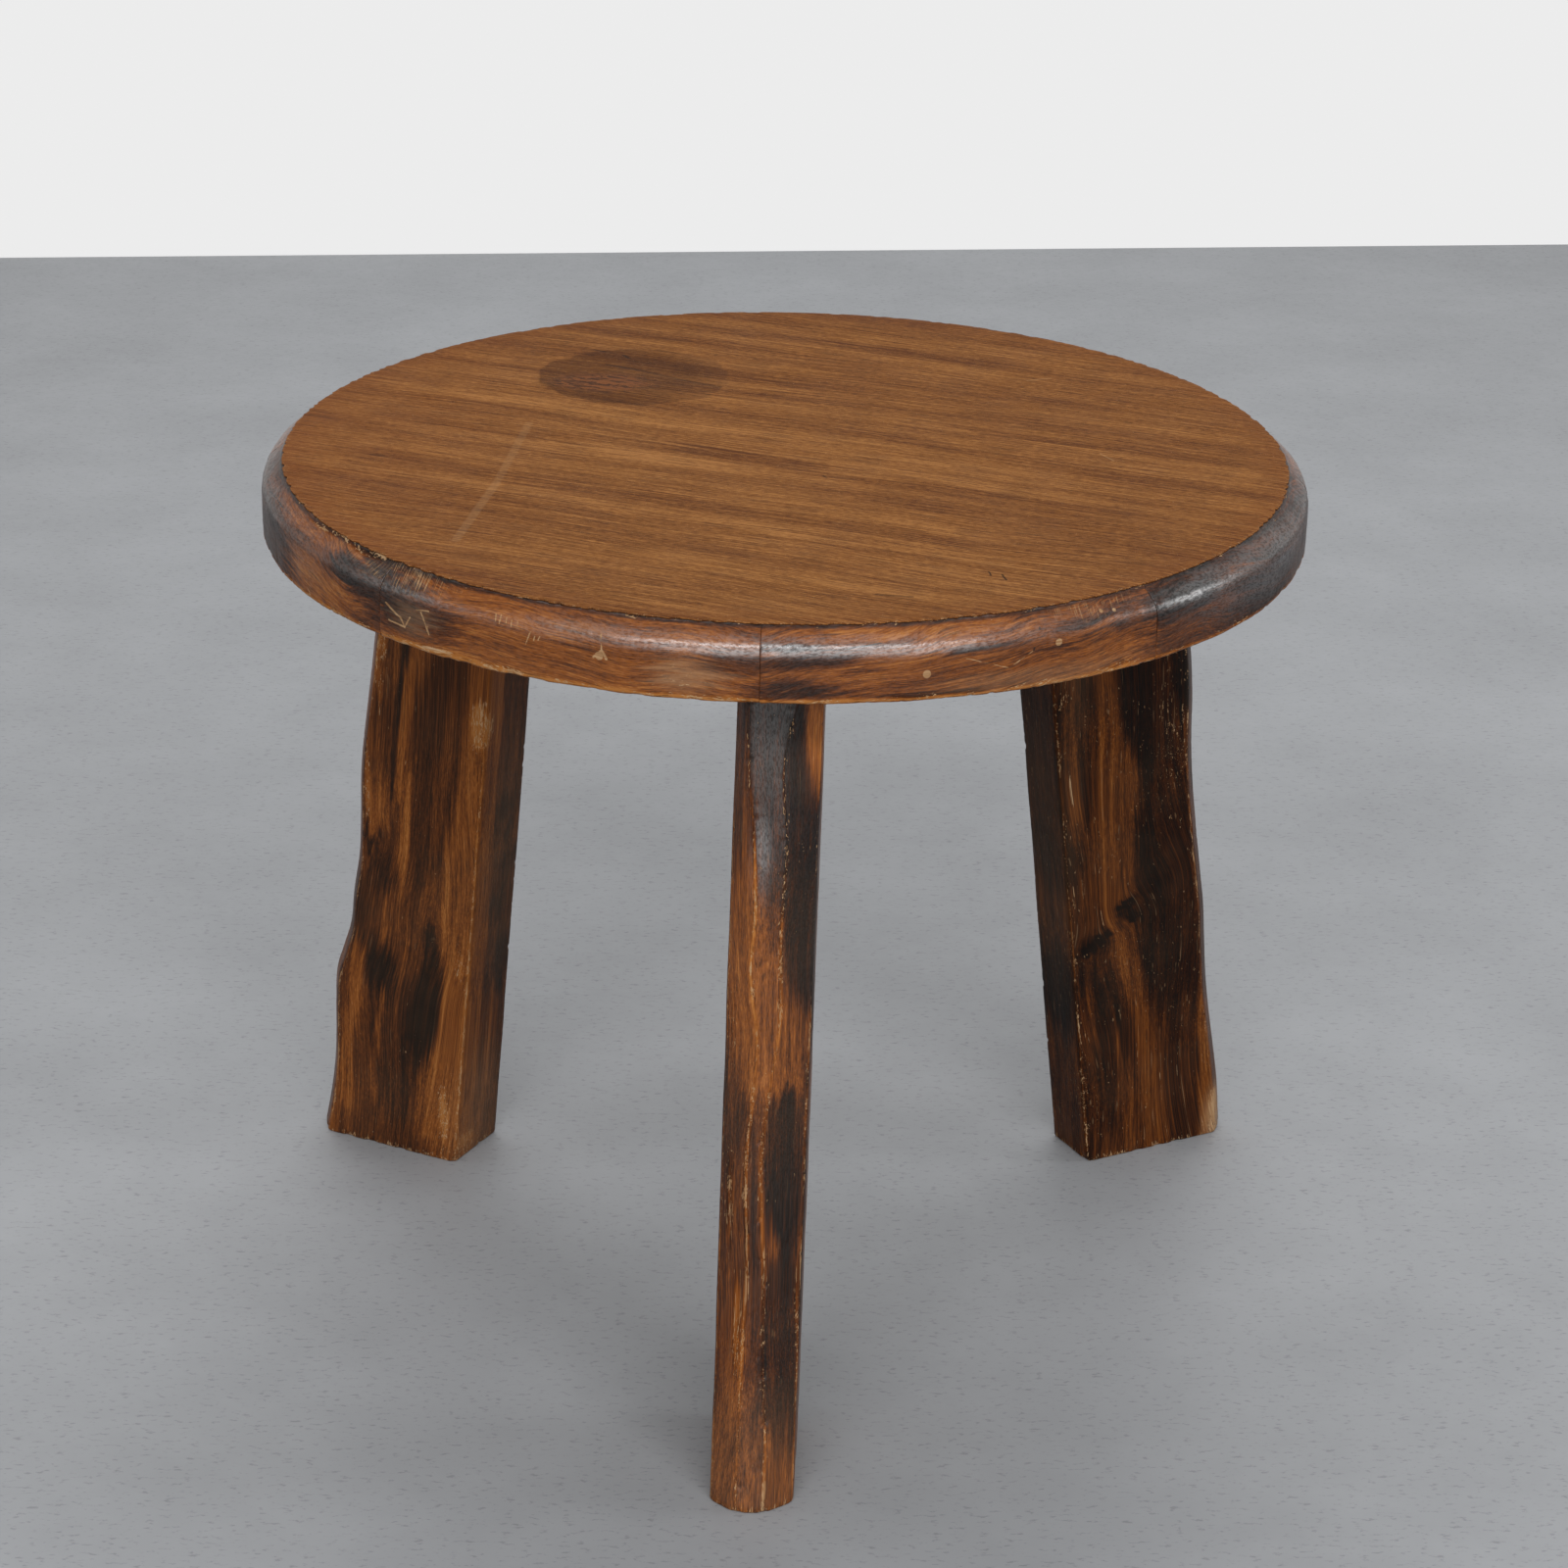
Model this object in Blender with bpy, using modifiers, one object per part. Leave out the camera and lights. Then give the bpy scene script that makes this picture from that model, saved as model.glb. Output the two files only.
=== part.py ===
"""A three-legged side table of dark wood.

The round top is a core board with a solid rim of eight segments, a face veneer of five leaves and a
backing veneer. Each leg is a slab that stands upright and points outwards, with a planed inner edge,
and an outer edge left wavy as the tree grew it. Two dowels in blind holes hold each leg to the core.

Lengths are in metres. Azimuth 0 points along -Y, to the front leg, and azimuth 90 along +X. A reach
is a distance from the top's axis, along a leg's own azimuth. A foot's overhang is how far it reaches
past the top's edge, and a setback is how far the leg's upper end stays inside it. An offset is how far
a slab's middle stands to the side of the axis, and a lean is how much further it is there at the top.
"""

import math
from collections import namedtuple

import bmesh
import bpy
import numpy as np

# The whole table
TABLE_HEIGHT = 0.505
TOP_RADIUS = 0.300
TOP_THICKNESS = 0.041
JOINT_GAP = 0.0003

# Face veneer and backing veneer
LEAF_THICKNESS = 0.0009
BACKING_THICKNESS = 0.0009
GRAIN_ANGLE = math.radians(-21.5)
# Places of the seams between the leaves, across the grain, as shares of the field's radius
SEAM_SHARES = (-0.469, -0.076, 0.285, 0.545)

# Rim: a slope from the field's edge, a rounded shoulder, an upright face and a small lower arris
RIM_WIDTH = 0.040
MOULDING_WIDTH = 0.0118
MOULDING_DEPTH = 0.017
RIM_ARRIS = 0.0015
# Where the shoulder's curve starts, bends to and ends, as shares of the moulding's width and depth
SHOULDER_SHARES = ((0.30, 0.47), (0.0, 0.68), (0.0, 1.0))
# The two segments beside the front joint are a little shorter than the others
RIM_SEGMENTS = 8
SHORT_SEGMENTS = 2
SHORT_SPAN = math.radians(43.65)
FIRST_JOINT = math.radians(-46.1)

# Dowels
DOWEL_RADIUS = 0.007
DOWEL_IN_LEG = 0.035
DOWEL_IN_CORE = 0.024
DOWEL_CHAMFER = 0.001
# Places of a leg's dowels between its inner edge and the core's edge
DOWEL_PLACE_SHARES = {"inner": 0.25, "outer": 0.75}

# Arrises that all the legs have alike
LEG_ARRIS = 0.0015
FOOT_ARRIS = 0.0015

# Front leg. Its wavy edge is listed from foot to top, as shares of the height and of the wave
FRONT_AZIMUTH = math.radians(-1.84)
FRONT_THICKNESS = 0.0465
FRONT_FOOT_OVERHANG = 0.030
FRONT_FOOT_WIDTH = 0.106
FRONT_TOP_SETBACK = 0.032
FRONT_TOP_WIDTH = 0.096
FRONT_OFFSET = 0.0
FRONT_LEAN = 0.007
FRONT_NOSE = 0.013
FRONT_WAVE = 0.008
FRONT_FACET_SHARES = (-0.35, 0.17)
FRONT_EDGE_SHARES = (
    (0.0, 0.0), (0.10, -0.32), (0.22, -0.38), (0.32, -0.22), (0.45, 0.05),
    (0.60, 0.62), (0.75, 1.0), (0.86, 0.70), (0.94, 0.15), (1.0, 0.0),
)

# Left leg
LEFT_AZIMUTH = math.radians(-117.1)
LEFT_THICKNESS = 0.053
LEFT_FOOT_OVERHANG = 0.0255
LEFT_FOOT_WIDTH = 0.1075
LEFT_TOP_SETBACK = 0.036
LEFT_TOP_WIDTH = 0.086
LEFT_OFFSET = -0.0095
LEFT_LEAN = 0.0
LEFT_NOSE = 0.012
LEFT_WAVE = 0.004
LEFT_FACET_SHARES = (-0.30, 0.35)
LEFT_EDGE_SHARES = (
    (0.0, 0.0), (0.055, -0.45), (0.095, -0.50), (0.14, -0.15), (0.19, 0.50), (0.245, 0.83),
    (0.275, 0.10), (0.315, -0.78), (0.36, -0.72), (0.42, -1.0), (0.47, -0.55), (0.54, 0.33),
    (0.62, 0.40), (0.72, 0.30), (1.0, 0.0),
)

# Right leg
RIGHT_AZIMUTH = math.radians(118.0)
RIGHT_THICKNESS = 0.0435
RIGHT_FOOT_OVERHANG = 0.034
RIGHT_FOOT_WIDTH = 0.109
RIGHT_TOP_SETBACK = 0.030
RIGHT_TOP_WIDTH = 0.103
RIGHT_OFFSET = 0.015
RIGHT_LEAN = 0.0
RIGHT_NOSE = 0.012
RIGHT_WAVE = 0.005
RIGHT_FACET_SHARES = (-0.35, 0.30)
RIGHT_EDGE_SHARES = (
    (0.0, 0.0), (0.07, 0.20), (0.12, 0.04), (0.24, -0.34), (0.29, -0.14), (0.34, 0.10),
    (0.40, 0.0), (0.47, -0.14), (0.54, -0.18), (0.60, 0.12), (0.65, 0.62), (0.71, 0.94),
    (0.77, 0.80), (0.88, 0.30), (1.0, 0.0),
)

# Facets of the round and wavy shapes
DISC_SIDES = 128
LEAF_STEPS = 16
SEGMENT_STEPS = 14
SHOULDER_STEPS = 5
DOWEL_SIDES = 24
LEG_STEPS = 26
SMOOTH_ANGLE = math.radians(32)

# Finishes: colour in linear light, and roughness
VENEER_FINISH = ((0.205, 0.095, 0.036), 0.45)
RIM_FINISH = ((0.120, 0.040, 0.014), 0.32)
LEG_FINISH = ((0.105, 0.034, 0.011), 0.40)
CORE_FINISH = ((0.420, 0.270, 0.130), 0.70)
DOWEL_FINISH = ((0.520, 0.350, 0.190), 0.65)

# Heights and reaches that follow
UNDERSIDE = TABLE_HEIGHT - TOP_THICKNESS
LEAF_BOTTOM = TABLE_HEIGHT - LEAF_THICKNESS
CORE_TOP = LEAF_BOTTOM - JOINT_GAP
BACKING_TOP = UNDERSIDE + BACKING_THICKNESS
CORE_BOTTOM = BACKING_TOP + JOINT_GAP
LEG_TOP = UNDERSIDE - JOINT_GAP
RIM_INNER = TOP_RADIUS - RIM_WIDTH
CORE_RADIUS = RIM_INNER - JOINT_GAP
FIELD_RADIUS = TOP_RADIUS - MOULDING_WIDTH
LONG_SPAN = (math.tau - SHORT_SEGMENTS * SHORT_SPAN) / (RIM_SEGMENTS - SHORT_SEGMENTS)
# The table stands centred on its footprint, so the top's axis lies behind the origin
AXIS_SETBACK = FRONT_FOOT_OVERHANG / 2

Leg = namedtuple(
    "Leg",
    "name azimuth thickness foot_overhang foot_width top_setback top_width offset lean nose wave"
    " facet_shares edge_shares",
)
LEGS = (
    Leg(
        "front", FRONT_AZIMUTH, FRONT_THICKNESS, FRONT_FOOT_OVERHANG, FRONT_FOOT_WIDTH,
        FRONT_TOP_SETBACK, FRONT_TOP_WIDTH, FRONT_OFFSET, FRONT_LEAN, FRONT_NOSE, FRONT_WAVE,
        FRONT_FACET_SHARES, FRONT_EDGE_SHARES,
    ),
    Leg(
        "left", LEFT_AZIMUTH, LEFT_THICKNESS, LEFT_FOOT_OVERHANG, LEFT_FOOT_WIDTH,
        LEFT_TOP_SETBACK, LEFT_TOP_WIDTH, LEFT_OFFSET, LEFT_LEAN, LEFT_NOSE, LEFT_WAVE,
        LEFT_FACET_SHARES, LEFT_EDGE_SHARES,
    ),
    Leg(
        "right", RIGHT_AZIMUTH, RIGHT_THICKNESS, RIGHT_FOOT_OVERHANG, RIGHT_FOOT_WIDTH,
        RIGHT_TOP_SETBACK, RIGHT_TOP_WIDTH, RIGHT_OFFSET, RIGHT_LEAN, RIGHT_NOSE, RIGHT_WAVE,
        RIGHT_FACET_SHARES, RIGHT_EDGE_SHARES,
    ),
)


def clear_scene():
    """Remove whatever the scene holds."""
    for old in list(bpy.data.objects):
        bpy.data.objects.remove(old, do_unlink=True)


def new_collection(name):
    """Add a collection to the scene."""
    collection = bpy.data.collections.new(name)
    bpy.context.scene.collection.children.link(collection)
    return collection


def mix(start, end, share):
    """Return the value at a share of the way from start to end."""
    return start + (end - start) * share


def place(name, piece, parent, collection):
    """Name a piece, hang it under its parent and keep it in one collection."""
    piece.name = name
    piece.parent = parent
    for home in list(piece.users_collection):
        home.objects.unlink(piece)
    collection.objects.link(piece)
    return piece


def finish(piece, colour, roughness):
    """Give a piece its own plain wood material."""
    material = bpy.data.materials.new(piece.name + "_wood")
    material.use_nodes = True
    shader = material.node_tree.nodes["Principled BSDF"]
    shader.inputs["Base Color"].default_value = (*colour, 1.0)
    shader.inputs["Roughness"].default_value = roughness
    shader.inputs["Metallic"].default_value = 0.0
    piece.data.materials.clear()
    piece.data.materials.append(material)


def shade_round(mesh):
    """Shade the round faces smooth and keep the arrises sharp."""
    mesh.shade_smooth()
    mesh.set_sharp_from_angle(angle=SMOOTH_ANGLE)


def cylinder(radius, low, high, sides):
    """Add an upright cylinder between two heights."""
    bpy.ops.mesh.primitive_cylinder_add(vertices=sides, radius=radius, depth=high - low)
    piece = bpy.context.object
    piece.location.z = (low + high) / 2
    shade_round(piece.data)
    return piece


def cut(piece, cutter):
    """Cut a hole in a piece with another solid."""
    hole = piece.modifiers.new("hole", "BOOLEAN")
    hole.operation = "DIFFERENCE"
    hole.solver = "EXACT"
    hole.object = cutter


def mesh_from(name, form):
    """Turn the faces of a bmesh outwards and keep it as a mesh."""
    bmesh.ops.recalc_face_normals(form, faces=form.faces)
    mesh = bpy.data.meshes.new(name)
    form.to_mesh(mesh)
    form.free()
    shade_round(mesh)
    return mesh


def rim_profile():
    """List the rim's section as reaches and heights, from its inner top edge round to its inner foot."""
    start, bend, end = (np.array(shares) for shares in SHOULDER_SHARES)
    turn = np.linspace(0, 1, SHOULDER_STEPS + 1)[:, None]
    shoulder = (1 - turn) ** 2 * start + 2 * turn * (1 - turn) * bend + turn**2 * end
    return [
        (RIM_INNER, CORE_TOP),
        (FIELD_RADIUS, CORE_TOP),
        *(
            (TOP_RADIUS - width * MOULDING_WIDTH, TABLE_HEIGHT - depth * MOULDING_DEPTH)
            for width, depth in shoulder
        ),
        (TOP_RADIUS, UNDERSIDE + RIM_ARRIS),
        (TOP_RADIUS - RIM_ARRIS, UNDERSIDE),
        (RIM_INNER, UNDERSIDE),
    ]


def rim_mesh(name, span):
    """Spin the rim's section through one segment's span, less half a glue line's gap at each end."""
    margin = JOINT_GAP / 2 / RIM_INNER
    form = bmesh.new()
    corners = [
        form.verts.new((reach * math.cos(margin), reach * math.sin(margin), height))
        for reach, height in rim_profile()
    ]
    section = form.faces.new(corners)
    bmesh.ops.spin(
        form, geom=[section, *section.edges, *corners], cent=(0, 0, 0), axis=(0, 0, 1),
        dvec=(0, 0, 0), angle=span - 2 * margin, steps=SEGMENT_STEPS, use_duplicate=False,
    )
    return mesh_from(name, form)


def add_rim(table, pieces):
    """Lay the segments round the core, the short ones from the first joint on."""
    short_mesh = rim_mesh("rim_short", SHORT_SPAN)
    long_mesh = rim_mesh("rim_long", LONG_SPAN)
    azimuth = FIRST_JOINT
    for number in range(1, RIM_SEGMENTS + 1):
        is_short = number <= SHORT_SEGMENTS
        mesh = short_mesh if is_short else long_mesh
        segment = bpy.data.objects.new("segment", mesh.copy())
        place(f"rim_segment_{number}", segment, table, pieces)
        segment.rotation_euler.z = azimuth - math.pi / 2
        finish(segment, *RIM_FINISH)
        azimuth += SHORT_SPAN if is_short else LONG_SPAN


def leaf_outline(low, high):
    """List the outline of the field between two seams: two arcs of its circle, with straight seams."""
    right = np.linspace(math.asin(low / FIELD_RADIUS), math.asin(high / FIELD_RADIUS), LEAF_STEPS + 1)
    left = math.pi - right[::-1]
    # Where a leaf has no seam, its two arcs share their end
    if high == FIELD_RADIUS:
        left = left[1:]
    if low == -FIELD_RADIUS:
        left = left[:-1]
    turns = np.concatenate([right, left])
    return [(FIELD_RADIUS * math.cos(turn), FIELD_RADIUS * math.sin(turn)) for turn in turns]


def add_face_veneer(table, pieces):
    """Cover the core and the rim's flat top with leaves, seam to seam across the grain."""
    seams = [share * FIELD_RADIUS for share in SEAM_SHARES]
    lows = [-FIELD_RADIUS, *(seam + JOINT_GAP / 2 for seam in seams)]
    highs = [*(seam - JOINT_GAP / 2 for seam in seams), FIELD_RADIUS]
    for number, (low, high) in enumerate(zip(lows, highs), start=1):
        points = leaf_outline(low, high)
        curve = bpy.data.curves.new("leaf", "CURVE")
        curve.dimensions = "2D"
        curve.fill_mode = "BOTH"
        curve.extrude = LEAF_THICKNESS / 2
        spline = curve.splines.new("POLY")
        spline.points.add(len(points) - 1)
        spline.use_cyclic_u = True
        for knot, (along, across) in zip(spline.points, points):
            knot.co = (along, across, 0, 1)
        leaf = bpy.data.objects.new("leaf", curve)
        place(f"face_veneer_{number}", leaf, table, pieces)
        leaf.location.z = TABLE_HEIGHT - LEAF_THICKNESS / 2
        leaf.rotation_euler.z = GRAIN_ANGLE
        finish(leaf, *VENEER_FINISH)


def edge_wave(edge_shares, share):
    """Follow a wavy edge smoothly through its points, with each point's slope from its neighbours."""
    heights, waves = np.array(edge_shares).T
    slopes = np.gradient(waves, heights)
    step = min(max(np.searchsorted(heights, share) - 1, 0), len(heights) - 2)
    length = heights[step + 1] - heights[step]
    turn = (share - heights[step]) / length
    return (
        (1 + 2 * turn) * (1 - turn) ** 2 * waves[step]
        + turn * (1 - turn) ** 2 * length * slopes[step]
        + turn**2 * (3 - 2 * turn) * waves[step + 1]
        + turn**2 * (turn - 1) * length * slopes[step + 1]
    )


def leg_reaches(leg, share):
    """Return the reaches of a leg's inner edge, and of its outer edge without the wave, at a height."""
    outer = TOP_RADIUS + mix(leg.foot_overhang, -leg.top_setback, share)
    return outer - mix(leg.foot_width, leg.top_width, share), outer


def leg_outline(leg, share, inset):
    """List a leg's section at a share of its height: planed faces and a nose of three facets."""
    inner, outer = leg_reaches(leg, share)
    inner += inset
    outer += leg.wave * edge_wave(leg.edge_shares, share) - inset
    middle = leg.offset + leg.lean * share
    half = leg.thickness / 2 - inset
    facet_right, facet_left = (middle + facet * half for facet in leg.facet_shares)
    return [
        (inner, middle - half + LEG_ARRIS),
        (inner + LEG_ARRIS, middle - half),
        (outer - leg.nose, middle - half),
        (outer, facet_right),
        (outer, facet_left),
        (outer - leg.nose, middle + half),
        (inner + LEG_ARRIS, middle + half),
        (inner, middle + half - LEG_ARRIS),
    ]


def leg_mesh(leg):
    """Loft a leg from its foot to its top, with X as the reach and Y across the slab."""
    shares = np.append(0, np.linspace(FOOT_ARRIS / LEG_TOP, 1, LEG_STEPS + 1))
    insets = np.append(FOOT_ARRIS, np.zeros(LEG_STEPS + 1))
    form = bmesh.new()
    rings = [
        [form.verts.new((reach, across, share * LEG_TOP)) for reach, across in outline]
        for share, outline in (
            (share, leg_outline(leg, share, inset)) for share, inset in zip(shares, insets)
        )
    ]
    for lower, upper in zip(rings, rings[1:]):
        for corner in range(len(lower)):
            following = (corner + 1) % len(lower)
            form.faces.new((lower[corner], lower[following], upper[following], upper[corner]))
    form.faces.new(reversed(rings[0]))
    form.faces.new(rings[-1])
    return mesh_from("leg_" + leg.name, form)


def add_leg(leg, table, pieces, cutters):
    """Stand a leg under the top with its dowels, and return the holes that these need in the top."""
    slab = bpy.data.objects.new("leg", leg_mesh(leg))
    place("leg_" + leg.name, slab, table, pieces)
    slab.rotation_euler.z = leg.azimuth - math.pi / 2
    finish(slab, *LEG_FINISH)
    low = LEG_TOP - DOWEL_IN_LEG
    high = UNDERSIDE + DOWEL_IN_CORE
    inner = leg_reaches(leg, share=1)[0]
    holes = []
    for side, share in DOWEL_PLACE_SHARES.items():
        reach = mix(inner, CORE_RADIUS, share)
        hole = cylinder(DOWEL_RADIUS + JOINT_GAP, low - JOINT_GAP, high + JOINT_GAP, DOWEL_SIDES)
        place(f"hole_{leg.name}_{side}", hole, slab, cutters)
        hole.location.xy = (reach, leg.offset + leg.lean)
        hole.hide_render = True
        hole.display_type = "WIRE"
        cut(slab, hole)
        holes.append(hole)

        dowel = cylinder(DOWEL_RADIUS, low, high, DOWEL_SIDES)
        place(f"dowel_{leg.name}_{side}", dowel, slab, pieces)
        dowel.location.xy = (reach, leg.offset + leg.lean)
        chamfer = dowel.modifiers.new("chamfer", "BEVEL")
        chamfer.width = DOWEL_CHAMFER
        chamfer.segments = 1
        chamfer.limit_method = "ANGLE"
        finish(dowel, *DOWEL_FINISH)
    return holes


def add_boards(table, pieces, holes):
    """Add the core and the backing veneer beneath it, both bored for the dowels."""
    core = cylinder(CORE_RADIUS, CORE_BOTTOM, CORE_TOP, DISC_SIDES)
    backing = cylinder(CORE_RADIUS, UNDERSIDE, BACKING_TOP, DISC_SIDES)
    place("top_core", core, table, pieces)
    place("backing_veneer", backing, table, pieces)
    for hole in holes:
        cut(core, hole)
        cut(backing, hole)
    finish(core, *CORE_FINISH)
    finish(backing, *VENEER_FINISH)


def main():
    """Build the table."""
    clear_scene()
    pieces = new_collection("side_table")
    cutters = new_collection("cutters")
    table = bpy.data.objects.new("table", None)
    pieces.objects.link(table)
    table.location.y = AXIS_SETBACK
    holes = [hole for leg in LEGS for hole in add_leg(leg, table, pieces, cutters)]
    add_boards(table, pieces, holes)
    add_rim(table, pieces)
    add_face_veneer(table, pieces)


main()
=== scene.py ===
"""The looks of a dark wooden side table with three legs.

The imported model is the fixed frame. The face veneer, the rim and the legs are replaced by finer
surfaces of the same sizes, and the core, the backing veneer and the dowels keep their solids.

Lengths are in metres. An azimuth turns about the top's axis: it is 0 towards -Y, where the front leg
stands, and 90 degrees towards +X. A leg's own directions are its reach, away from the top's axis, its
across, to the side, and the height. A tone is a shade of the dark wood, from 0, black, to 1, orange.
"""

import math
from collections import namedtuple

import bmesh
import bpy
import numpy as np
from bpy.props import FloatProperty, FloatVectorProperty
from mathutils import Matrix, Vector


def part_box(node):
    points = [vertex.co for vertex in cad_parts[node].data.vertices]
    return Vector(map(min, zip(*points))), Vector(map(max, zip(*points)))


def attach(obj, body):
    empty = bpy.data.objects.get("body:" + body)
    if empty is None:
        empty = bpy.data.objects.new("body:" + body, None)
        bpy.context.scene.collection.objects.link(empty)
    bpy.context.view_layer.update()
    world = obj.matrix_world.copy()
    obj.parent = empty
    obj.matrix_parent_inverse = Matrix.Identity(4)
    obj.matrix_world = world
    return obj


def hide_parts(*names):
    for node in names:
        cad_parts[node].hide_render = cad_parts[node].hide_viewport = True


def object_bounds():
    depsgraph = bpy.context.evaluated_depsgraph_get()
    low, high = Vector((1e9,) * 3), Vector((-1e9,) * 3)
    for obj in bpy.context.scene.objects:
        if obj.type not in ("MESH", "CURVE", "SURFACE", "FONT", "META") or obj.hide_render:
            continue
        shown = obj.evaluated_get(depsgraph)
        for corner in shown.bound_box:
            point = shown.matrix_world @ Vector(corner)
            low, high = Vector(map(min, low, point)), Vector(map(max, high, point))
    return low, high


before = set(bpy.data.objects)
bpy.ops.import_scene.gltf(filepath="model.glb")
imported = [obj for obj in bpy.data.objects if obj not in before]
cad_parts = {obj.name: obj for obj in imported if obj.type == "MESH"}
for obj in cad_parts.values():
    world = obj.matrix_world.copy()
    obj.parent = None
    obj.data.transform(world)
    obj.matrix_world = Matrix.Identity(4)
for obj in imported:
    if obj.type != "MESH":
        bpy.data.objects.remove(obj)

bl_info = {
    "name": "Three-legged side table",
    "version": (1, 0, 0),
    "blender": (4, 5, 0),
    "location": "View3D > Sidebar > Table",
    "description": "Dresses a three-legged side table of dark wood in its finish",
    "category": "Add Mesh",
}

CAD_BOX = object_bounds()

# Places read from the frame
CORE_LOW, CORE_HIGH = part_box("top_core")
LEAF_LOW, LEAF_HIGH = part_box("face_veneer_3")
RIM_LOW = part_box("rim_segment_1")[0]
AXIS_X = (CORE_LOW.x + CORE_HIGH.x) / 2
AXIS_Y = (CORE_LOW.y + CORE_HIGH.y) / 2
LEG_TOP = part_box("leg_left")[1].z
UNDERSIDE = RIM_LOW.z
CORE_TOP = CORE_HIGH.z
TABLE_RADIUS = CAD_BOX[1].y - AXIS_Y

# The camera stands where the photograph was taken from
CAMERA_PLACE = (-0.01197, -2.39719, 1.28077)
CAMERA_PITCH = math.radians(22.16)
CAMERA_ROLL = math.radians(1.065)
CAMERA_YAW = math.radians(-0.344)
CAMERA_SENSOR = 36.0

# The floor ends behind the table on a line that is turned a little
FLOOR_HALF_WIDTH = 5.0
FLOOR_FRONT = 5.0
FLOOR_TURN = math.radians(5.5)

# Meshes
MERGE_DISTANCE = 0.00001
SHARP_ANGLE = math.radians(50)


def node(tree, kind, inputs=None, **settings):
    """Add a node and feed its inputs: a socket is linked, and any other value is written."""
    made = tree.nodes.new("ShaderNode" + kind)
    for name, value in settings.items():
        setattr(made, name, value)
    for name, value in (inputs or {}).items():
        socket = made.inputs[name]
        if isinstance(value, bpy.types.NodeSocket):
            tree.links.new(value, socket)
        elif socket.type == "RGBA":
            socket.default_value = (*value[:3], 1.0)
        else:
            socket.default_value = value
    return made


def calculate(tree, operation, *values):
    """Add a Math node and return its result."""
    return node(tree, "Math", dict(enumerate(values)), operation=operation).outputs[0]


def product(tree, first, second):
    """Multiply two values."""
    return calculate(tree, "MULTIPLY", first, second)


def less(tree, value, amount):
    """Take an amount away from a value."""
    return calculate(tree, "SUBTRACT", value, amount)


def vector_math(tree, operation, *values):
    """Add a Vector Math node and return its vector result."""
    return node(tree, "VectorMath", dict(enumerate(values)), operation=operation).outputs[0]


def vector_value(tree, operation, first, second):
    """Add a Vector Math node and return its plain result, such as a distance."""
    return node(tree, "VectorMath", {0: first, 1: second}, operation=operation).outputs[1]


def scaled(tree, vector, factor):
    """Multiply a vector by a plain value."""
    return node(tree, "VectorMath", {0: vector, "Scale": factor}, operation="SCALE").outputs[0]


def ease(tree, value, start, end, low=0.0, high=1.0):
    """Map a value from between start and end to between low and high, with soft ends."""
    inputs = {"Value": value, 1: start, 2: end, 3: low, 4: high}
    return node(tree, "MapRange", inputs, interpolation_type="SMOOTHSTEP").outputs[0]


def tint(tree, factor, first, second, blend_type="MIX"):
    """Mix two colours and return the result."""
    inputs = {0: factor, 6: first, 7: second}
    return node(tree, "Mix", inputs, data_type="RGBA", blend_type=blend_type).outputs[2]


def ramp(tree, factor, stops):
    """Add a colour ramp with the given places and colours."""
    made = node(tree, "ValToRGB", {0: factor})
    elements = made.color_ramp.elements
    while len(elements) < len(stops):
        elements.new(0.5)
    for element, (place, colour) in zip(elements, stops):
        element.position = place
        element.color = (*colour, 1.0)
    return made.outputs[0]


def noise(tree, vector, scale, detail=3.0, roughness=0.55, distortion=0.0):
    """Add a noise texture, with its scale in cells to the metre, and return its value."""
    inputs = {
        "Vector": vector, "Scale": scale, "Detail": detail, "Roughness": roughness,
        "Distortion": distortion,
    }
    return node(tree, "TexNoise", inputs).outputs[0]


def warp(tree, vector, scale, amount):
    """Move a vector about by a noise, by up to about half the amount each way."""
    moved = node(tree, "TexNoise", {"Vector": vector, "Scale": scale, "Detail": 2.0}).outputs[1]
    moved = vector_math(tree, "SUBTRACT", moved, (0.5, 0.5, 0.5))
    return vector_math(tree, "ADD", vector, scaled(tree, moved, amount))


def stretch(tree, vector, scale):
    """Scale a vector, to draw a pattern out along the grain."""
    return node(tree, "Mapping", {"Vector": vector, "Scale": scale}).outputs[0]


def new_group(name, inputs, outputs):
    """Start a shader node group with the given sockets, and return its tree and its input sockets."""
    tree = bpy.data.node_groups.new(name, "ShaderNodeTree")
    for socket, (kind, default) in inputs.items():
        made = tree.interface.new_socket(socket, in_out="INPUT", socket_type="NodeSocket" + kind)
        if default is not None:
            made.default_value = default
    for socket, kind in outputs.items():
        tree.interface.new_socket(socket, in_out="OUTPUT", socket_type="NodeSocket" + kind)
    entry = tree.nodes.new("NodeGroupInput")
    return tree, entry.outputs


def end_group(tree, results):
    """Feed the results to a group's outputs."""
    leaving = tree.nodes.new("NodeGroupOutput")
    for name, socket in results.items():
        tree.links.new(socket, leaving.inputs[name])


def use_group(tree, name, inputs):
    """Place a shared node group in a material, with values of its own, and return its outputs."""
    return node(tree, "Group", inputs, node_tree=bpy.data.node_groups[name]).outputs


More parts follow.
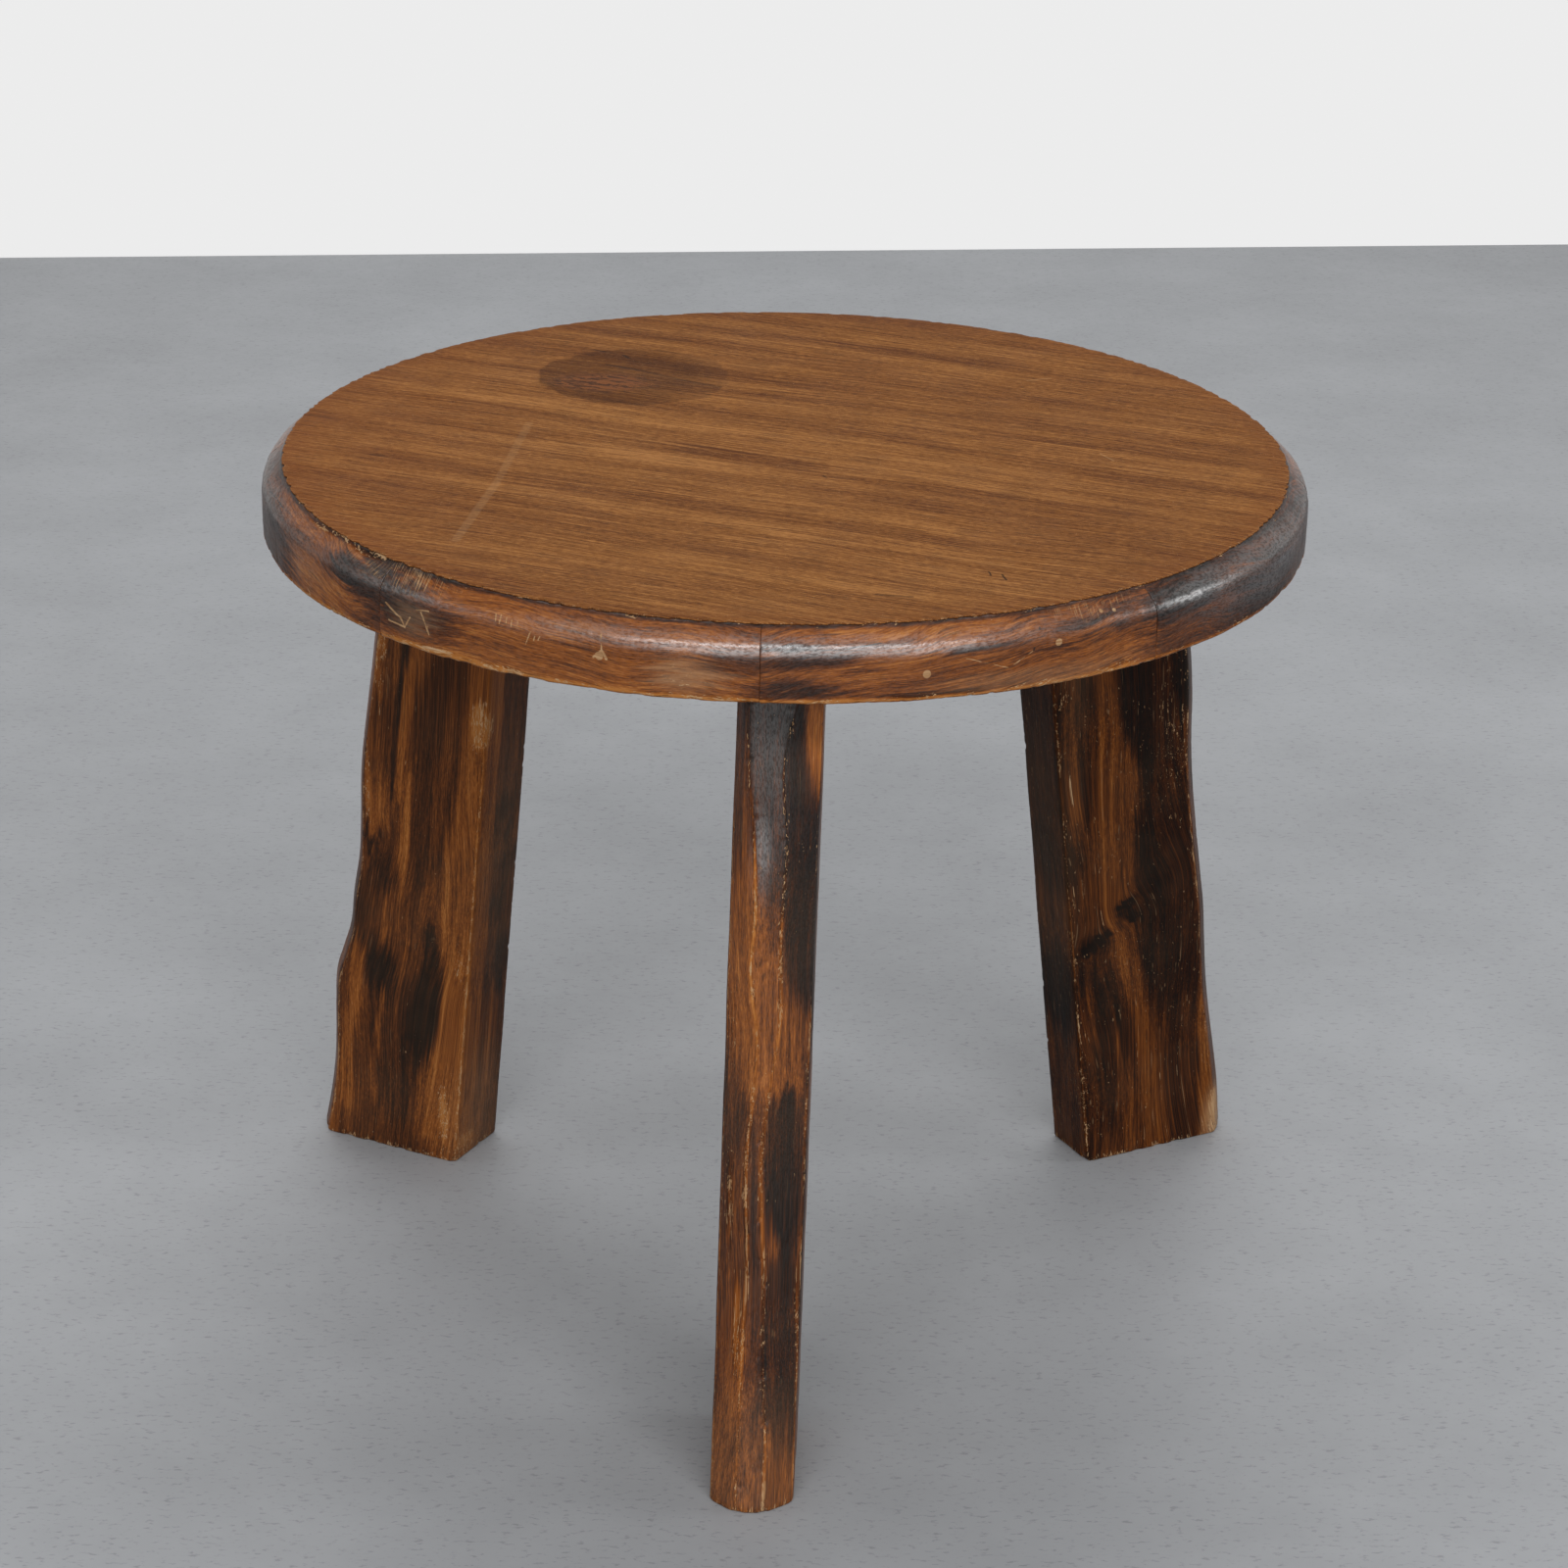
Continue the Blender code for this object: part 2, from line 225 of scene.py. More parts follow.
def grain_group():
    """Wood drawn out along the third direction of its Grain vector: broad streaks, fine fibres and pores.

    Each is a noise whose cells are long with the grain and narrow across it. The pores are the cells of
    the finest noise that rise above a threshold.
    """
    tree, entry = new_group(
        "wood_grain",
        {
            "Grain": ("Vector", None), "Streaks": ("Float", 70.0), "Fibres": ("Float", 900.0),
            "Drawn": ("Float", 0.05), "Pore Share": ("Float", 0.36),
        },
        {"Streak": "Float", "Fibre": "Float", "Pore": "Float", "Height": "Float"},
    )
    drawn = node(tree, "CombineXYZ", {0: 1.0, 1: 1.0, 2: entry["Drawn"]}).outputs[0]
    along = vector_math(tree, "MULTIPLY", entry["Grain"], drawn)
    longer = vector_math(tree, "MULTIPLY", along, (1.0, 1.0, 0.6))
    streak = noise(tree, along, entry["Streaks"], 3.0, 0.6, 0.15)
    fibre = noise(tree, longer, entry["Fibres"], 2.0, 0.6)
    pore_noise = noise(tree, along, product(tree, entry["Fibres"], 1.5), 0.0, 0.5)
    limit = less(tree, entry["Pore Share"], 0.06)
    pore = less(tree, 1.0, ease(tree, pore_noise, limit, entry["Pore Share"]))
    raised = less(tree, product(tree, fibre, 0.4), pore)
    end_group(tree, {"Streak": streak, "Fibre": fibre, "Pore": pore, "Height": raised})


def worn_group():
    """Where wear has broken through: a wear value above a threshold that two noises move about."""
    tree, entry = new_group(
        "worn_through",
        {
            "Vector": ("Vector", None), "Wear": ("Float", 0.0), "Size": ("Float", 300.0),
            "Softness": ("Float", 0.10),
        },
        {"Mask": "Float"},
    )
    broad = noise(tree, entry["Vector"], entry["Size"], 3.0, 0.65)
    fine = noise(tree, entry["Vector"], product(tree, entry["Size"], 4.0), 2.0, 0.6)
    broken = less(tree, calculate(tree, "MULTIPLY_ADD", fine, 0.7, broad), 0.85)
    moved = calculate(tree, "MULTIPLY_ADD", broken, 2.1, entry["Wear"])
    end = calculate(tree, "ADD", 0.5, entry["Softness"])
    end_group(tree, {"Mask": ease(tree, moved, 0.5, end)})


def scratch_group():
    """One scratch: the distance to a straight line from Start to End, against a width that a noise varies."""
    tree, entry = new_group(
        "scratch",
        {
            "Vector": ("Vector", None), "Start": ("Vector", None), "End": ("Vector", None),
            "Width": ("Float", 0.0004), "Ragged": ("Float", 0.3),
        },
        {"Mask": "Float"},
    )
    place = warp(tree, entry["Vector"], 160.0, 0.0012)
    line = vector_math(tree, "SUBTRACT", entry["End"], entry["Start"])
    ahead = vector_math(tree, "SUBTRACT", place, entry["Start"])
    reached = vector_value(tree, "DOT_PRODUCT", ahead, line)
    share = calculate(tree, "DIVIDE", reached, vector_value(tree, "DOT_PRODUCT", line, line))
    share = node(tree, "Clamp", {0: share}).outputs[0]
    distance = vector_value(tree, "DISTANCE", ahead, scaled(tree, line, share))
    uneven = less(tree, noise(tree, entry["Vector"], 900.0, 2.0, 0.6), 0.5)
    uneven = product(tree, uneven, entry["Ragged"])
    near = calculate(tree, "ADD", calculate(tree, "DIVIDE", distance, entry["Width"]), uneven)
    end_group(tree, {"Mask": ease(tree, near, 0.55, 1.0, 1.0, 0.0)})


def spot_group():
    """One spot: the distance to its Centre against a radius, with an outline that a noise makes uneven."""
    tree, entry = new_group(
        "spot",
        {
            "Vector": ("Vector", None), "Centre": ("Vector", None), "Radius": ("Float", 0.004),
            "Uneven": ("Float", 0.2), "Lobes": ("Float", 120.0), "Softness": ("Float", 0.15),
        },
        {"Mask": "Float"},
    )
    distance = vector_value(tree, "DISTANCE", entry["Vector"], entry["Centre"])
    share = calculate(tree, "DIVIDE", distance, entry["Radius"])
    uneven = less(tree, noise(tree, entry["Vector"], entry["Lobes"], 2.0, 0.5), 0.5)
    share = calculate(tree, "MULTIPLY_ADD", uneven, entry["Uneven"], share)
    end = calculate(tree, "ADD", 1.0, entry["Softness"])
    end_group(tree, {"Mask": ease(tree, share, 1.0, end, 1.0, 0.0)})


def haze_group():
    """How the gloss of an old finish varies: broad clouds of handling, and a fine grain of dust."""
    tree, entry = new_group(
        "gloss_haze",
        {"Vector": ("Vector", None), "Gloss": ("Float", 0.35), "Spread": ("Float", 0.2)},
        {"Roughness": "Float"},
    )
    clouds = noise(tree, entry["Vector"], 22.0, 4.0, 0.65)
    dust = noise(tree, entry["Vector"], 500.0, 2.0, 0.6)
    change = calculate(tree, "ADD", clouds, product(tree, dust, 0.5))
    change = product(tree, less(tree, change, 0.75), entry["Spread"])
    end_group(tree, {"Roughness": calculate(tree, "ADD", entry["Gloss"], change)})


# Marks are drawn into a piece's values as spots and bands, which apply_marks explains
Spot = namedtuple("Spot", "value place halves lean", defaults=[0.0])
Band = namedtuple("Band", "value side rows depth along", defaults=[(0.022, 0.045), 0])


def soft_step(value, start, end):
    """Rise smoothly from 0 at the start to 1 at the end."""
    share = np.clip((value - start) / (end - start), 0, 1)
    return share * share * (3 - 2 * share)


def mix(start, end, share):
    """Return the value at a share of the way from start to end."""
    return start + (end - start) * share


def follow(rows, at, column=1):
    """Follow a smooth curve through one column of a table whose first column rises.

    Each stretch is a cubic between two rows, with the slope at a row taken from its neighbours.
    """
    places = np.array([row[0] for row in rows], float)
    values = np.array([row[column] for row in rows], float)
    slopes = np.gradient(values, places)
    step = np.clip(np.searchsorted(places, at) - 1, 0, len(places) - 2)
    length = places[step + 1] - places[step]
    turn = np.clip((at - places[step]) / length, 0, 1)
    return (
        (1 + 2 * turn) * (1 - turn) ** 2 * values[step]
        + turn * (1 - turn) ** 2 * length * slopes[step]
        + turn**2 * (3 - 2 * turn) * values[step + 1]
        + turn**2 * (turn - 1) * length * slopes[step + 1]
    )


def waves(points, size, seed, count=12):
    """Sum plane sine waves of about one size, in seeded directions, to mostly between -1 and 1."""
    draw = np.random.default_rng(seed)
    directions = draw.normal(size=(count, 3))
    directions /= np.linalg.norm(directions, axis=1)[:, None]
    turns = draw.uniform(0.6, 1.6, count) * math.tau / size
    phases = draw.uniform(0, math.tau, count)
    return np.sin(points @ (directions * turns[:, None]).T + phases).sum(axis=-1) * math.sqrt(2 / count)


def hollows(points, size, seed):
    """Give soft hollows of about one size: 0 on the high places, and 1 in the low ones."""
    return np.clip(0.5 - 0.5 * waves(points, size, seed), 0, 1)


def peaks(points, size, seed, above, most=1):
    """Give the tops of the waves, above a level and as high as a limit."""
    return np.clip(waves(points, size, seed) - above, 0, most)


def bell(value, middle, half):
    """Fade from 1 at the middle to nearly 0 at two half widths from it."""
    return np.exp(-(((value - middle) / half) ** 2))


def apply_marks(field, points, marks):
    """Draw a field, or one value, towards each mark's value, in the marks' order.

    A spot fades with the distance from its place, measured in its half sizes, and its lean moves its
    middle with the height. A band follows its rows of height, middle and half width, along the reach
    or across, and fades with the depth from its side in the other direction.
    """
    field = field + 0 * points[..., 0]
    for mark in marks:
        if isinstance(mark, Spot):
            offset = points - np.array(mark.place)
            offset[..., 0] -= mark.lean * offset[..., 2]
            near = 1 - soft_step(np.linalg.norm(offset / np.array(mark.halves), axis=-1), 0.40, 1.35)
        else:
            height = points[..., 2]
            first, last = mark.rows[0][0], mark.rows[-1][0]
            middle = follow(mark.rows, height)
            half = np.maximum(follow(mark.rows, height, column=2), 0.0002)
            near = 1 - soft_step(np.abs(points[..., mark.along] - middle) / half, 0.45, 1.5)
            near = near * (1 - soft_step(np.abs(points[..., 1 - mark.along] - mark.side), *mark.depth))
            near = near * soft_step(height, first - 0.008, first + 0.004)
            near = near * (1 - soft_step(height, last - 0.004, last + 0.008))
        field = field + (mark.value - field) * near
    return field


def feathered(points, grain, seed):
    """Move places about by narrow streaks along the grain, which feathers the marks drawn there.

    The last of the grain's directions runs along it. A streak slides places along it by up to a
    centimetre, and across it by a millimetre or two.
    """
    slide = 0.005 * waves(grain * (1, 1, 0.03), 0.0030, seed)
    aside = 0.0008 * waves(grain * (1, 1, 0.05), 0.004, seed + 1)
    aside = aside + 0.0018 * waves(grain * (1, 1, 0.15), 0.020, seed + 2)
    return points + np.stack([aside, aside, slide], axis=-1)


def tube_faces(rings, sides):
    """List the quads between the rings of a closed tube, and a face over each end."""
    start = np.arange(rings - 1)[:, None] * sides
    side = np.arange(sides)
    following = (side + 1) % sides
    corners = [start + side, start + following, start + sides + following, start + sides + side]
    quads = np.stack(corners, axis=-1).reshape(-1, 4).tolist()
    last = (rings - 1) * sides
    return quads + [side[::-1].tolist(), (last + side).tolist()]


def add_piece(name, points, faces, attributes, material, nodes):
    """Make a closed mesh from a grid of points, and let it stand for nodes of the frame."""
    mesh = bpy.data.meshes.new(name)
    mesh.from_pydata(points.reshape(-1, 3), [], faces)
    for key, values in attributes.items():
        is_vector = values.ndim == points.ndim
        kind = "FLOAT_VECTOR" if is_vector else "FLOAT"
        layer = mesh.attributes.new(key, kind, "POINT")
        flat = np.ascontiguousarray(values, dtype=np.float32).ravel()
        layer.data.foreach_set("vector" if is_vector else "value", flat)
    form = bmesh.new()
    form.from_mesh(mesh)
    bmesh.ops.remove_doubles(form, verts=form.verts, dist=MERGE_DISTANCE)
    bmesh.ops.recalc_face_normals(form, faces=form.faces)
    form.to_mesh(mesh)
    form.free()
    mesh.shade_smooth()
    mesh.set_sharp_from_angle(angle=SHARP_ANGLE)
    mesh.materials.append(material)
    piece = bpy.data.objects.new(name, mesh)
    bpy.context.scene.collection.objects.link(piece)
    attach(piece, "root")
    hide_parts(*nodes)
    return piece


def to_world(reach, across, height, azimuth):
    """Turn a leg's or the rim's own directions into places in the frame."""
    x = AXIS_X + reach * np.sin(azimuth) + across * np.cos(azimuth)
    y = AXIS_Y - reach * np.cos(azimuth) + across * np.sin(azimuth)
    return np.stack(np.broadcast_arrays(x, y, height), axis=-1)


Leg = namedtuple(
    "Leg",
    "name azimuth thickness foot_overhang foot_width top_setback top_width offset nose wave facet_shares"
    " edge_shares marks wear dull seed shade coat figure specks lean facets knots polish",
    defaults=[0.0, None, (), ()],
)

# The marks of a leg lie in its own directions: reach, across and height. MARKS and KNOTS change the
# tone, WEAR the share of bare wood, POLISH the varnish, and DULL a pale haze of wax and dust, which
# is partly painted sheen.

# Heights and acrosses of the two ridges to which the front leg's nose is worn
FRONT_FACETS = (
    ((0, -0.009), (0.085, -0.007), (0.149, -0.0049), (0.204, -0.0064), (0.232, -0.0037), (0.275, -0.0018),
     (0.305, -0.0061), (0.343, -0.0041), (0.381, -0.0055), (0.42, -0.0095), (0.464, -0.011)),
    ((0, 0.007), (0.033, 0.0075), (0.085, 0.0049), (0.139, 0.0043), (0.2, 0.0016), (0.254, 0.0069),
     (0.275, 0.0101), (0.338, 0.0104), (0.376, 0.0125), (0.43, 0.011), (0.45, 0.0164), (0.464, 0.019)),
)
FRONT_MARKS = (
    Band(0.3, 0.33, ((-0.01, -0.016, 0.004), (0.06, -0.017, 0.003),
         (0.464, -0.018, 0.003)), depth=(0.075, 0.1), along=1),
    Band(0.66, 0.33, ((0.24, 0.001, 0.012), (0.27, 0, 0.014), (0.31, -0.004, 0.012),
         (0.342, -0.007, 0.01), (0.37, -0.011, 0.006)), depth=(0.075, 0.1), along=1),
    Spot(0.3, (0.28, -0.02, 0.42), (0.06, 0.006, 0.07)),
    Spot(0.04, (0.28, 0.002, 0.44), (0.06, 0.015, 0.05)),
    Spot(0.16, (0.28, 0.004, 0.385), (0.06, 0.012, 0.03)),
    Band(0.03, 0.33, ((0.24, 0.024, 0.003), (0.29, 0.0215, 0.008), (0.341, 0.021, 0.011),
         (0.379, 0.019, 0.011), (0.42, 0.016, 0.009),
         (0.464, 0.012, 0.008)), depth=(0.075, 0.1), along=1),
    Spot(0.72, (0.25, 0.025, 0.436), (0.05, 0.008, 0.034)),
    Spot(0.6, (0.3, 0.014, 0.265), (0.05, 0.012, 0.035)),
    Band(0.17, 0.33, ((0.03, 0.016, 0.007), (0.08, 0.014, 0.012),
         (0.14, 0.014, 0.013)), depth=(0.06, 0.09), along=1),
    Band(0.04, 0.33, ((0.142, 0.019, 0.003), (0.163, 0.017, 0.008), (0.19, 0.015, 0.012),
         (0.215, 0.015, 0.01), (0.235, 0.014, 0.007)), depth=(0.06, 0.09), along=1),
    Spot(0.3, (0.32, -0.002, 0.16), (0.04, 0.006, 0.04)),
    Spot(0.1, (0.3, -0.021, 0.245), (0.04, 0.004, 0.014)),
    Spot(0.54, (0.32, -0.004, 0.02), (0.05, 0.03, 0.032)),
    Band(-0.1, 0.33, ((0.148, 0.016, 0.0006), (0.172, 0.0125, 0.002),
         (0.2, 0.0085, 0.0012)), depth=(0.06, 0.09), along=1),
    Spot(0.56, (0.32, -0.014, 0.1), (0.05, 0.009, 0.06)),
)
FRONT_WEAR = (
    Spot(0.62, (0.33, -0.02, 0.0925), (0.03, 0.0022, 0.013)),
    Spot(0.36, (0.33, -0.015, 0.28), (0.05, 0.003, 0.05)),
    Spot(0.36, (0.33, -0.015, 0.18), (0.05, 0.0035, 0.045)),
    Spot(0.38, (0.33, -0.01, 0.11), (0.05, 0.003, 0.04)),
    Spot(0.42, (0.33, 0.0225, 0.12), (0.05, 0.0022, 0.035)),
)
FRONT_POLISH = (
    Spot(0.32, (0.32, 0, 0.45), (0.06, 0.03, 0.06)),
    Spot(1, (0.33, -0.0022, 0.373), (0.06, 0.008, 0.03)),
)
FRONT_DULL = (
    Spot(0.05, (0.32, 0, 0.27), (0.06, 0.05, 0.12)),
    Spot(0.1, (0.32, 0, 0.01), (0.06, 0.05, 0.06)),
)

LEFT_MARKS = (
    Band(0.74, 0.017, ((-0.01, 0.228, 0.01), (0.144, 0.2157, 0.01), (0.3, 0.202, 0.01),
         (0.47, 0.188, 0.01)), depth=(0.02, 0.04)),
    Band(0.3, 0.017, ((0.185, 0.238, 0.003), (0.211, 0.236, 0.01), (0.231, 0.232, 0.013),
         (0.254, 0.2285, 0.015), (0.278, 0.226, 0.017), (0.309, 0.223, 0.019), (0.345, 0.216, 0.018),
         (0.4, 0.209, 0.017), (0.47, 0.203, 0.017))),
    Band(0.44, 0.017, ((0.205, 0.232, 0.001), (0.235, 0.229, 0.003), (0.258, 0.2244, 0.0045),
         (0.29, 0.2177, 0.0035), (0.32, 0.2165, 0.001)), depth=(0.015, 0.035)),
    Band(0.72, 0.017, ((0.18, 0.252, 0.004), (0.253, 0.2515, 0.0045), (0.289, 0.249, 0.005),
         (0.319, 0.243, 0.005), (0.4, 0.233, 0.004), (0.47, 0.228, 0.003))),
    Band(0.1, 0.017, ((0.245, 0.2575, 0.001), (0.288, 0.2555, 0.0022), (0.323, 0.25, 0.0022),
         (0.4, 0.241, 0.002), (0.47, 0.235, 0.002))),
    Spot(0.74, (0.27, 0.017, 0.236), (0.01, 0.03, 0.02)),
    Spot(0.1, (0.277, 0.017, 0.211), (0.009, 0.03, 0.007)),
    Spot(0.22, (0.268, 0.017, 0.188), (0.016, 0.03, 0.012)),
    Spot(0.24, (0.29, 0.017, 0.165), (0.014, 0.03, 0.03)),
    Spot(0.28, (0.258, 0.017, 0.085), (0.03, 0.03, 0.055)),
    Spot(0.02, (0.273, 0.017, 0.125), (0.013, 0.03, 0.021)),
    Spot(0.1, (0.231, 0.017, 0.149), (0.005, 0.03, 0.015)),
    Spot(0, (0.239, 0.017, 0.096), (0.012, 0.03, 0.044), -0.18),
    Spot(0.24, (0.255, 0.017, 0.04), (0.016, 0.03, 0.032)),
    Band(0.7, 0.017, ((0.02, 0.3, 0.005), (0.087, 0.294, 0.0045), (0.14, 0.288, 0.004))),
    Band(0.56, 0.017, ((0.03, 0.277, 0.003), (0.08, 0.275, 0.0025), (0.11, 0.27, 0.002))),
    Spot(0.68, (0.236, 0.017, 0.05), (0.011, 0.03, 0.04), -0.25),
    Spot(0.34, (0.262, 0.017, 0.004), (0.04, 0.04, 0.012)),
    Spot(0.36, (0.19, -0.01, 0.33), (0.012, 0.04, 0.12)),
    Spot(0.34, (0.205, -0.012, 0.15), (0.012, 0.04, 0.1)),
    Spot(0.12, (0.192, -0.016, 0.235), (0.012, 0.016, 0.014)),
    Spot(0.13, (0.196, -0.026, 0.197), (0.012, 0.013, 0.01)),
    Spot(0.06, (0.198, -0.013, 0.172), (0.012, 0.011, 0.009)),
    Spot(0.05, (0.204, -0.022, 0.1275), (0.012, 0.013, 0.02)),
    Spot(0.52, (0.207, -0.016, 0.087), (0.012, 0.014, 0.022)),
    Band(0.66, 0.008, ((-0.01, 0.222, 0.012), (0.144, 0.207, 0.012), (0.3, 0.193, 0.012),
         (0.47, 0.178, 0.012)), depth=(0.008, 0.013)),
)
LEFT_WEAR = (
    Spot(0.44, (0.1965, 0.017, 0.302), (0.0075, 0.012, 0.02)),
    Spot(0.28, (0.213, 0.017, 0.139), (0.004, 0.012, 0.014)),
    Spot(0.34, (0.226, 0.017, 0.032), (0.005, 0.012, 0.026)),
    Spot(0.4, (0.265, 0.017, 0.344), (0.0035, 0.012, 0.012)),
    Spot(0.3, (0.268, 0.017, 0.322), (0.003, 0.012, 0.03)),
    Spot(0.26, (0.278, 0.017, 0.255), (0.0025, 0.012, 0.045)),
    Spot(0.34, (0.205, 0.005, 0.01), (0.025, 0.02, 0.012)),
)
LEFT_DULL = (
    Spot(0.04, (0.23, 0.017, 0.24), (0.2, 0.1, 0.4)),
    Spot(0.26, (0.205, -0.01, 0.02), (0.03, 0.03, 0.06)),
    Spot(0.16, (0.198, -0.015, 0.19), (0.012, 0.024, 0.13)),
)

RIGHT_MARKS = (
    Band(0.24, -0.007, ((-0.01, 0.306, 0.02), (0.05, 0.298, 0.02), (0.15, 0.284, 0.022),
         (0.24, 0.276, 0.022), (0.33, 0.271, 0.02), (0.47, 0.262, 0.022)), depth=(0.022, 0.04)),
    Band(0.57, -0.007, ((0.18, 0.229, 0.009), (0.22, 0.228, 0.012), (0.262, 0.2275, 0.01),
         (0.291, 0.2285, 0.009), (0.326, 0.221, 0.008), (0.4, 0.212, 0.008), (0.47, 0.204, 0.008))),
    Band(0.26, -0.007, ((0.235, 0.211, 0.003), (0.303, 0.205, 0.006), (0.36, 0.2, 0.005),
         (0.47, 0.19, 0.004))),
    Band(0.06, -0.007, ((0.165, 0.268, 0.012), (0.193, 0.264, 0.009), (0.24, 0.255, 0.0055),
         (0.265, 0.2515, 0.0065), (0.3, 0.2475, 0.009), (0.336, 0.243, 0.011), (0.4, 0.236, 0.012),
         (0.47, 0.228, 0.012)), depth=(0.024, 0.045)),
    Spot(0.05, (0.278, -0.007, 0.318), (0.008, 0.03, 0.04), -0.12),
    Spot(0.06, (0.264, -0.007, 0.18), (0.014, 0.03, 0.032)),
    Spot(0.08, (0.272, -0.007, 0.14), (0.016, 0.03, 0.045), -0.15),
    Spot(0.1, (0.234, -0.007, 0.105), (0.013, 0.03, 0.04), -0.25),
    Spot(0.26, (0.24, -0.007, 0.05), (0.018, 0.03, 0.055), -0.2),
    Band(0.6, -0.007, ((-0.01, 0.283, 0.007), (0.028, 0.276, 0.007), (0.063, 0.268, 0.0075),
         (0.098, 0.2586, 0.0075), (0.126, 0.2475, 0.0075), (0.154, 0.24, 0.008), (0.188, 0.231, 0.009))),
    Band(0.56, -0.007, ((-0.01, 0.257, 0.003), (0.04, 0.253, 0.003), (0.09, 0.243, 0.002))),
    Band(0.72, -0.007, ((-0.01, 0.318, 0.007), (0.048, 0.3135, 0.006), (0.1, 0.306, 0.003))),
    Band(0.46, -0.007, ((0.1, 0.306, 0.004), (0.2, 0.297, 0.004), (0.3, 0.283, 0.003))),
    Spot(0.28, (0.19, 0.016, 0.29), (0.012, 0.04, 0.1)),
    Spot(0.1, (0.204, 0.016, 0.215), (0.012, 0.03, 0.03)),
    Spot(0.4, (0.207, 0.014, 0.17), (0.012, 0.012, 0.018)),
    Spot(0.02, (0.21, 0.015, 0.115), (0.012, 0.026, 0.04)),
    Spot(0.42, (0.22, 0.013, 0.04), (0.012, 0.026, 0.03)),
)
RIGHT_KNOTS = (
    Spot(0.2, (0.2235, -0.007, 0.153), (0.0125, 0.022, 0.0095)),
    Spot(-0.15, (0.218, -0.007, 0.15), (0.007, 0.022, 0.0042)),
    Spot(-0.15, (0.226, -0.007, 0.1555), (0.007, 0.022, 0.0045)),
    Spot(0.16, (0.2465, -0.007, 0.172), (0.0105, 0.022, 0.0085)),
    Spot(-0.15, (0.244, -0.007, 0.1765), (0.0065, 0.022, 0.0044)),
    Spot(-0.1, (0.25, -0.007, 0.167), (0.006, 0.022, 0.0036)),
    Spot(0.04, (0.266, -0.007, 0.19), (0.012, 0.022, 0.012)),
)
RIGHT_WEAR = (
    Spot(0.22, (0.1906, -0.007, 0.331), (0.004, 0.012, 0.02)),
    Spot(0.17, (0.199, -0.007, 0.25), (0.0035, 0.012, 0.03)),
    Spot(0.17, (0.2056, -0.007, 0.15), (0.0035, 0.012, 0.045)),
    Spot(0.17, (0.219, -0.007, 0.061), (0.0035, 0.012, 0.04)),
    Spot(0.62, (0.323, -0.007, 0.012), (0.011, 0.015, 0.024)),
    Spot(0.14, (0.274, -0.007, 0.3), (0.016, 0.02, 0.06)),
)
RIGHT_DULL = (
    Spot(0.1, (0.2, 0.016, 0.24), (0.014, 0.03, 0.25)),
    Spot(0.5, (0.323, -0.007, 0.012), (0.012, 0.02, 0.026)),
)

# Each leg as the frame has it, foot to top. Its wavy edge is in shares of the height and of the wave.
# A leg's shade scales all its wood colours: the right leg's low shade is partly darker wood and partly
# painted shade, for the light that falls less on it
LEGS = (
    Leg(
        "front", azimuth=math.radians(-1.84), thickness=0.0465, foot_overhang=0.030, foot_width=0.106,
        top_setback=0.032, top_width=0.096, offset=0.0, lean=0.007, nose=0.013, wave=0.008,
        facet_shares=(-0.35, 0.17),
        edge_shares=(
            (0.0, 0.0), (0.10, -0.32), (0.22, -0.38), (0.32, -0.22), (0.45, 0.05), (0.60, 0.62),
            (0.75, 1.0), (0.80, 0.94), (0.86, 0.64), (0.94, 0.15), (1.0, 0.0),
        ),
        facets=FRONT_FACETS, marks=FRONT_MARKS, wear=FRONT_WEAR, polish=FRONT_POLISH, dull=FRONT_DULL,
        seed=3, shade=1.02, coat=1.0, figure=0.75, specks=0.15,
    ),
    Leg(
        "left", azimuth=math.radians(-117.1), thickness=0.053, foot_overhang=0.0255, foot_width=0.1075,
        top_setback=0.036, top_width=0.086, offset=-0.0095, nose=0.012, wave=0.004,
        facet_shares=(-0.30, 0.35),
        edge_shares=(
            (0.0, 0.0), (0.055, -0.45), (0.095, -0.50), (0.14, -0.15), (0.19, 0.50), (0.245, 0.83),
            (0.275, 0.10), (0.315, -0.78), (0.36, -0.72), (0.42, -1.0), (0.47, -0.55), (0.54, 0.33),
            (0.62, 0.40), (0.72, 0.30), (1.0, 0.0),
        ),
        marks=LEFT_MARKS, wear=LEFT_WEAR, dull=LEFT_DULL,
        seed=5, shade=0.84, coat=0.05, figure=0.78, specks=0.12,
    ),
    Leg(
        "right", azimuth=math.radians(118.0), thickness=0.0435, foot_overhang=0.034, foot_width=0.109,
        top_setback=0.030, top_width=0.103, offset=0.015, nose=0.012, wave=0.005,
        facet_shares=(-0.35, 0.30),
        edge_shares=(
            (0.0, 0.0), (0.07, 0.20), (0.12, 0.04), (0.24, -0.34), (0.29, -0.14), (0.34, 0.10),
            (0.40, 0.0), (0.47, -0.14), (0.54, -0.18), (0.60, 0.12), (0.65, 0.62), (0.71, 0.94),
            (0.77, 0.80), (0.88, 0.30), (1.0, 0.0),
        ),
        marks=RIGHT_MARKS, knots=RIGHT_KNOTS, wear=RIGHT_WEAR, dull=RIGHT_DULL,
        seed=8, shade=0.56, coat=0.05, figure=0.85, specks=0.28,
    ),
)

LEG_RINGS = 380
# Points along each side of a leg's section: the right face, the nose's three facets, the left face and
# the inner edge
LEG_SIDE_POINTS = (80, 14, 12, 14, 80, 42)
# How often neighbouring points are averaged
ARRIS_ROUNDING = 8
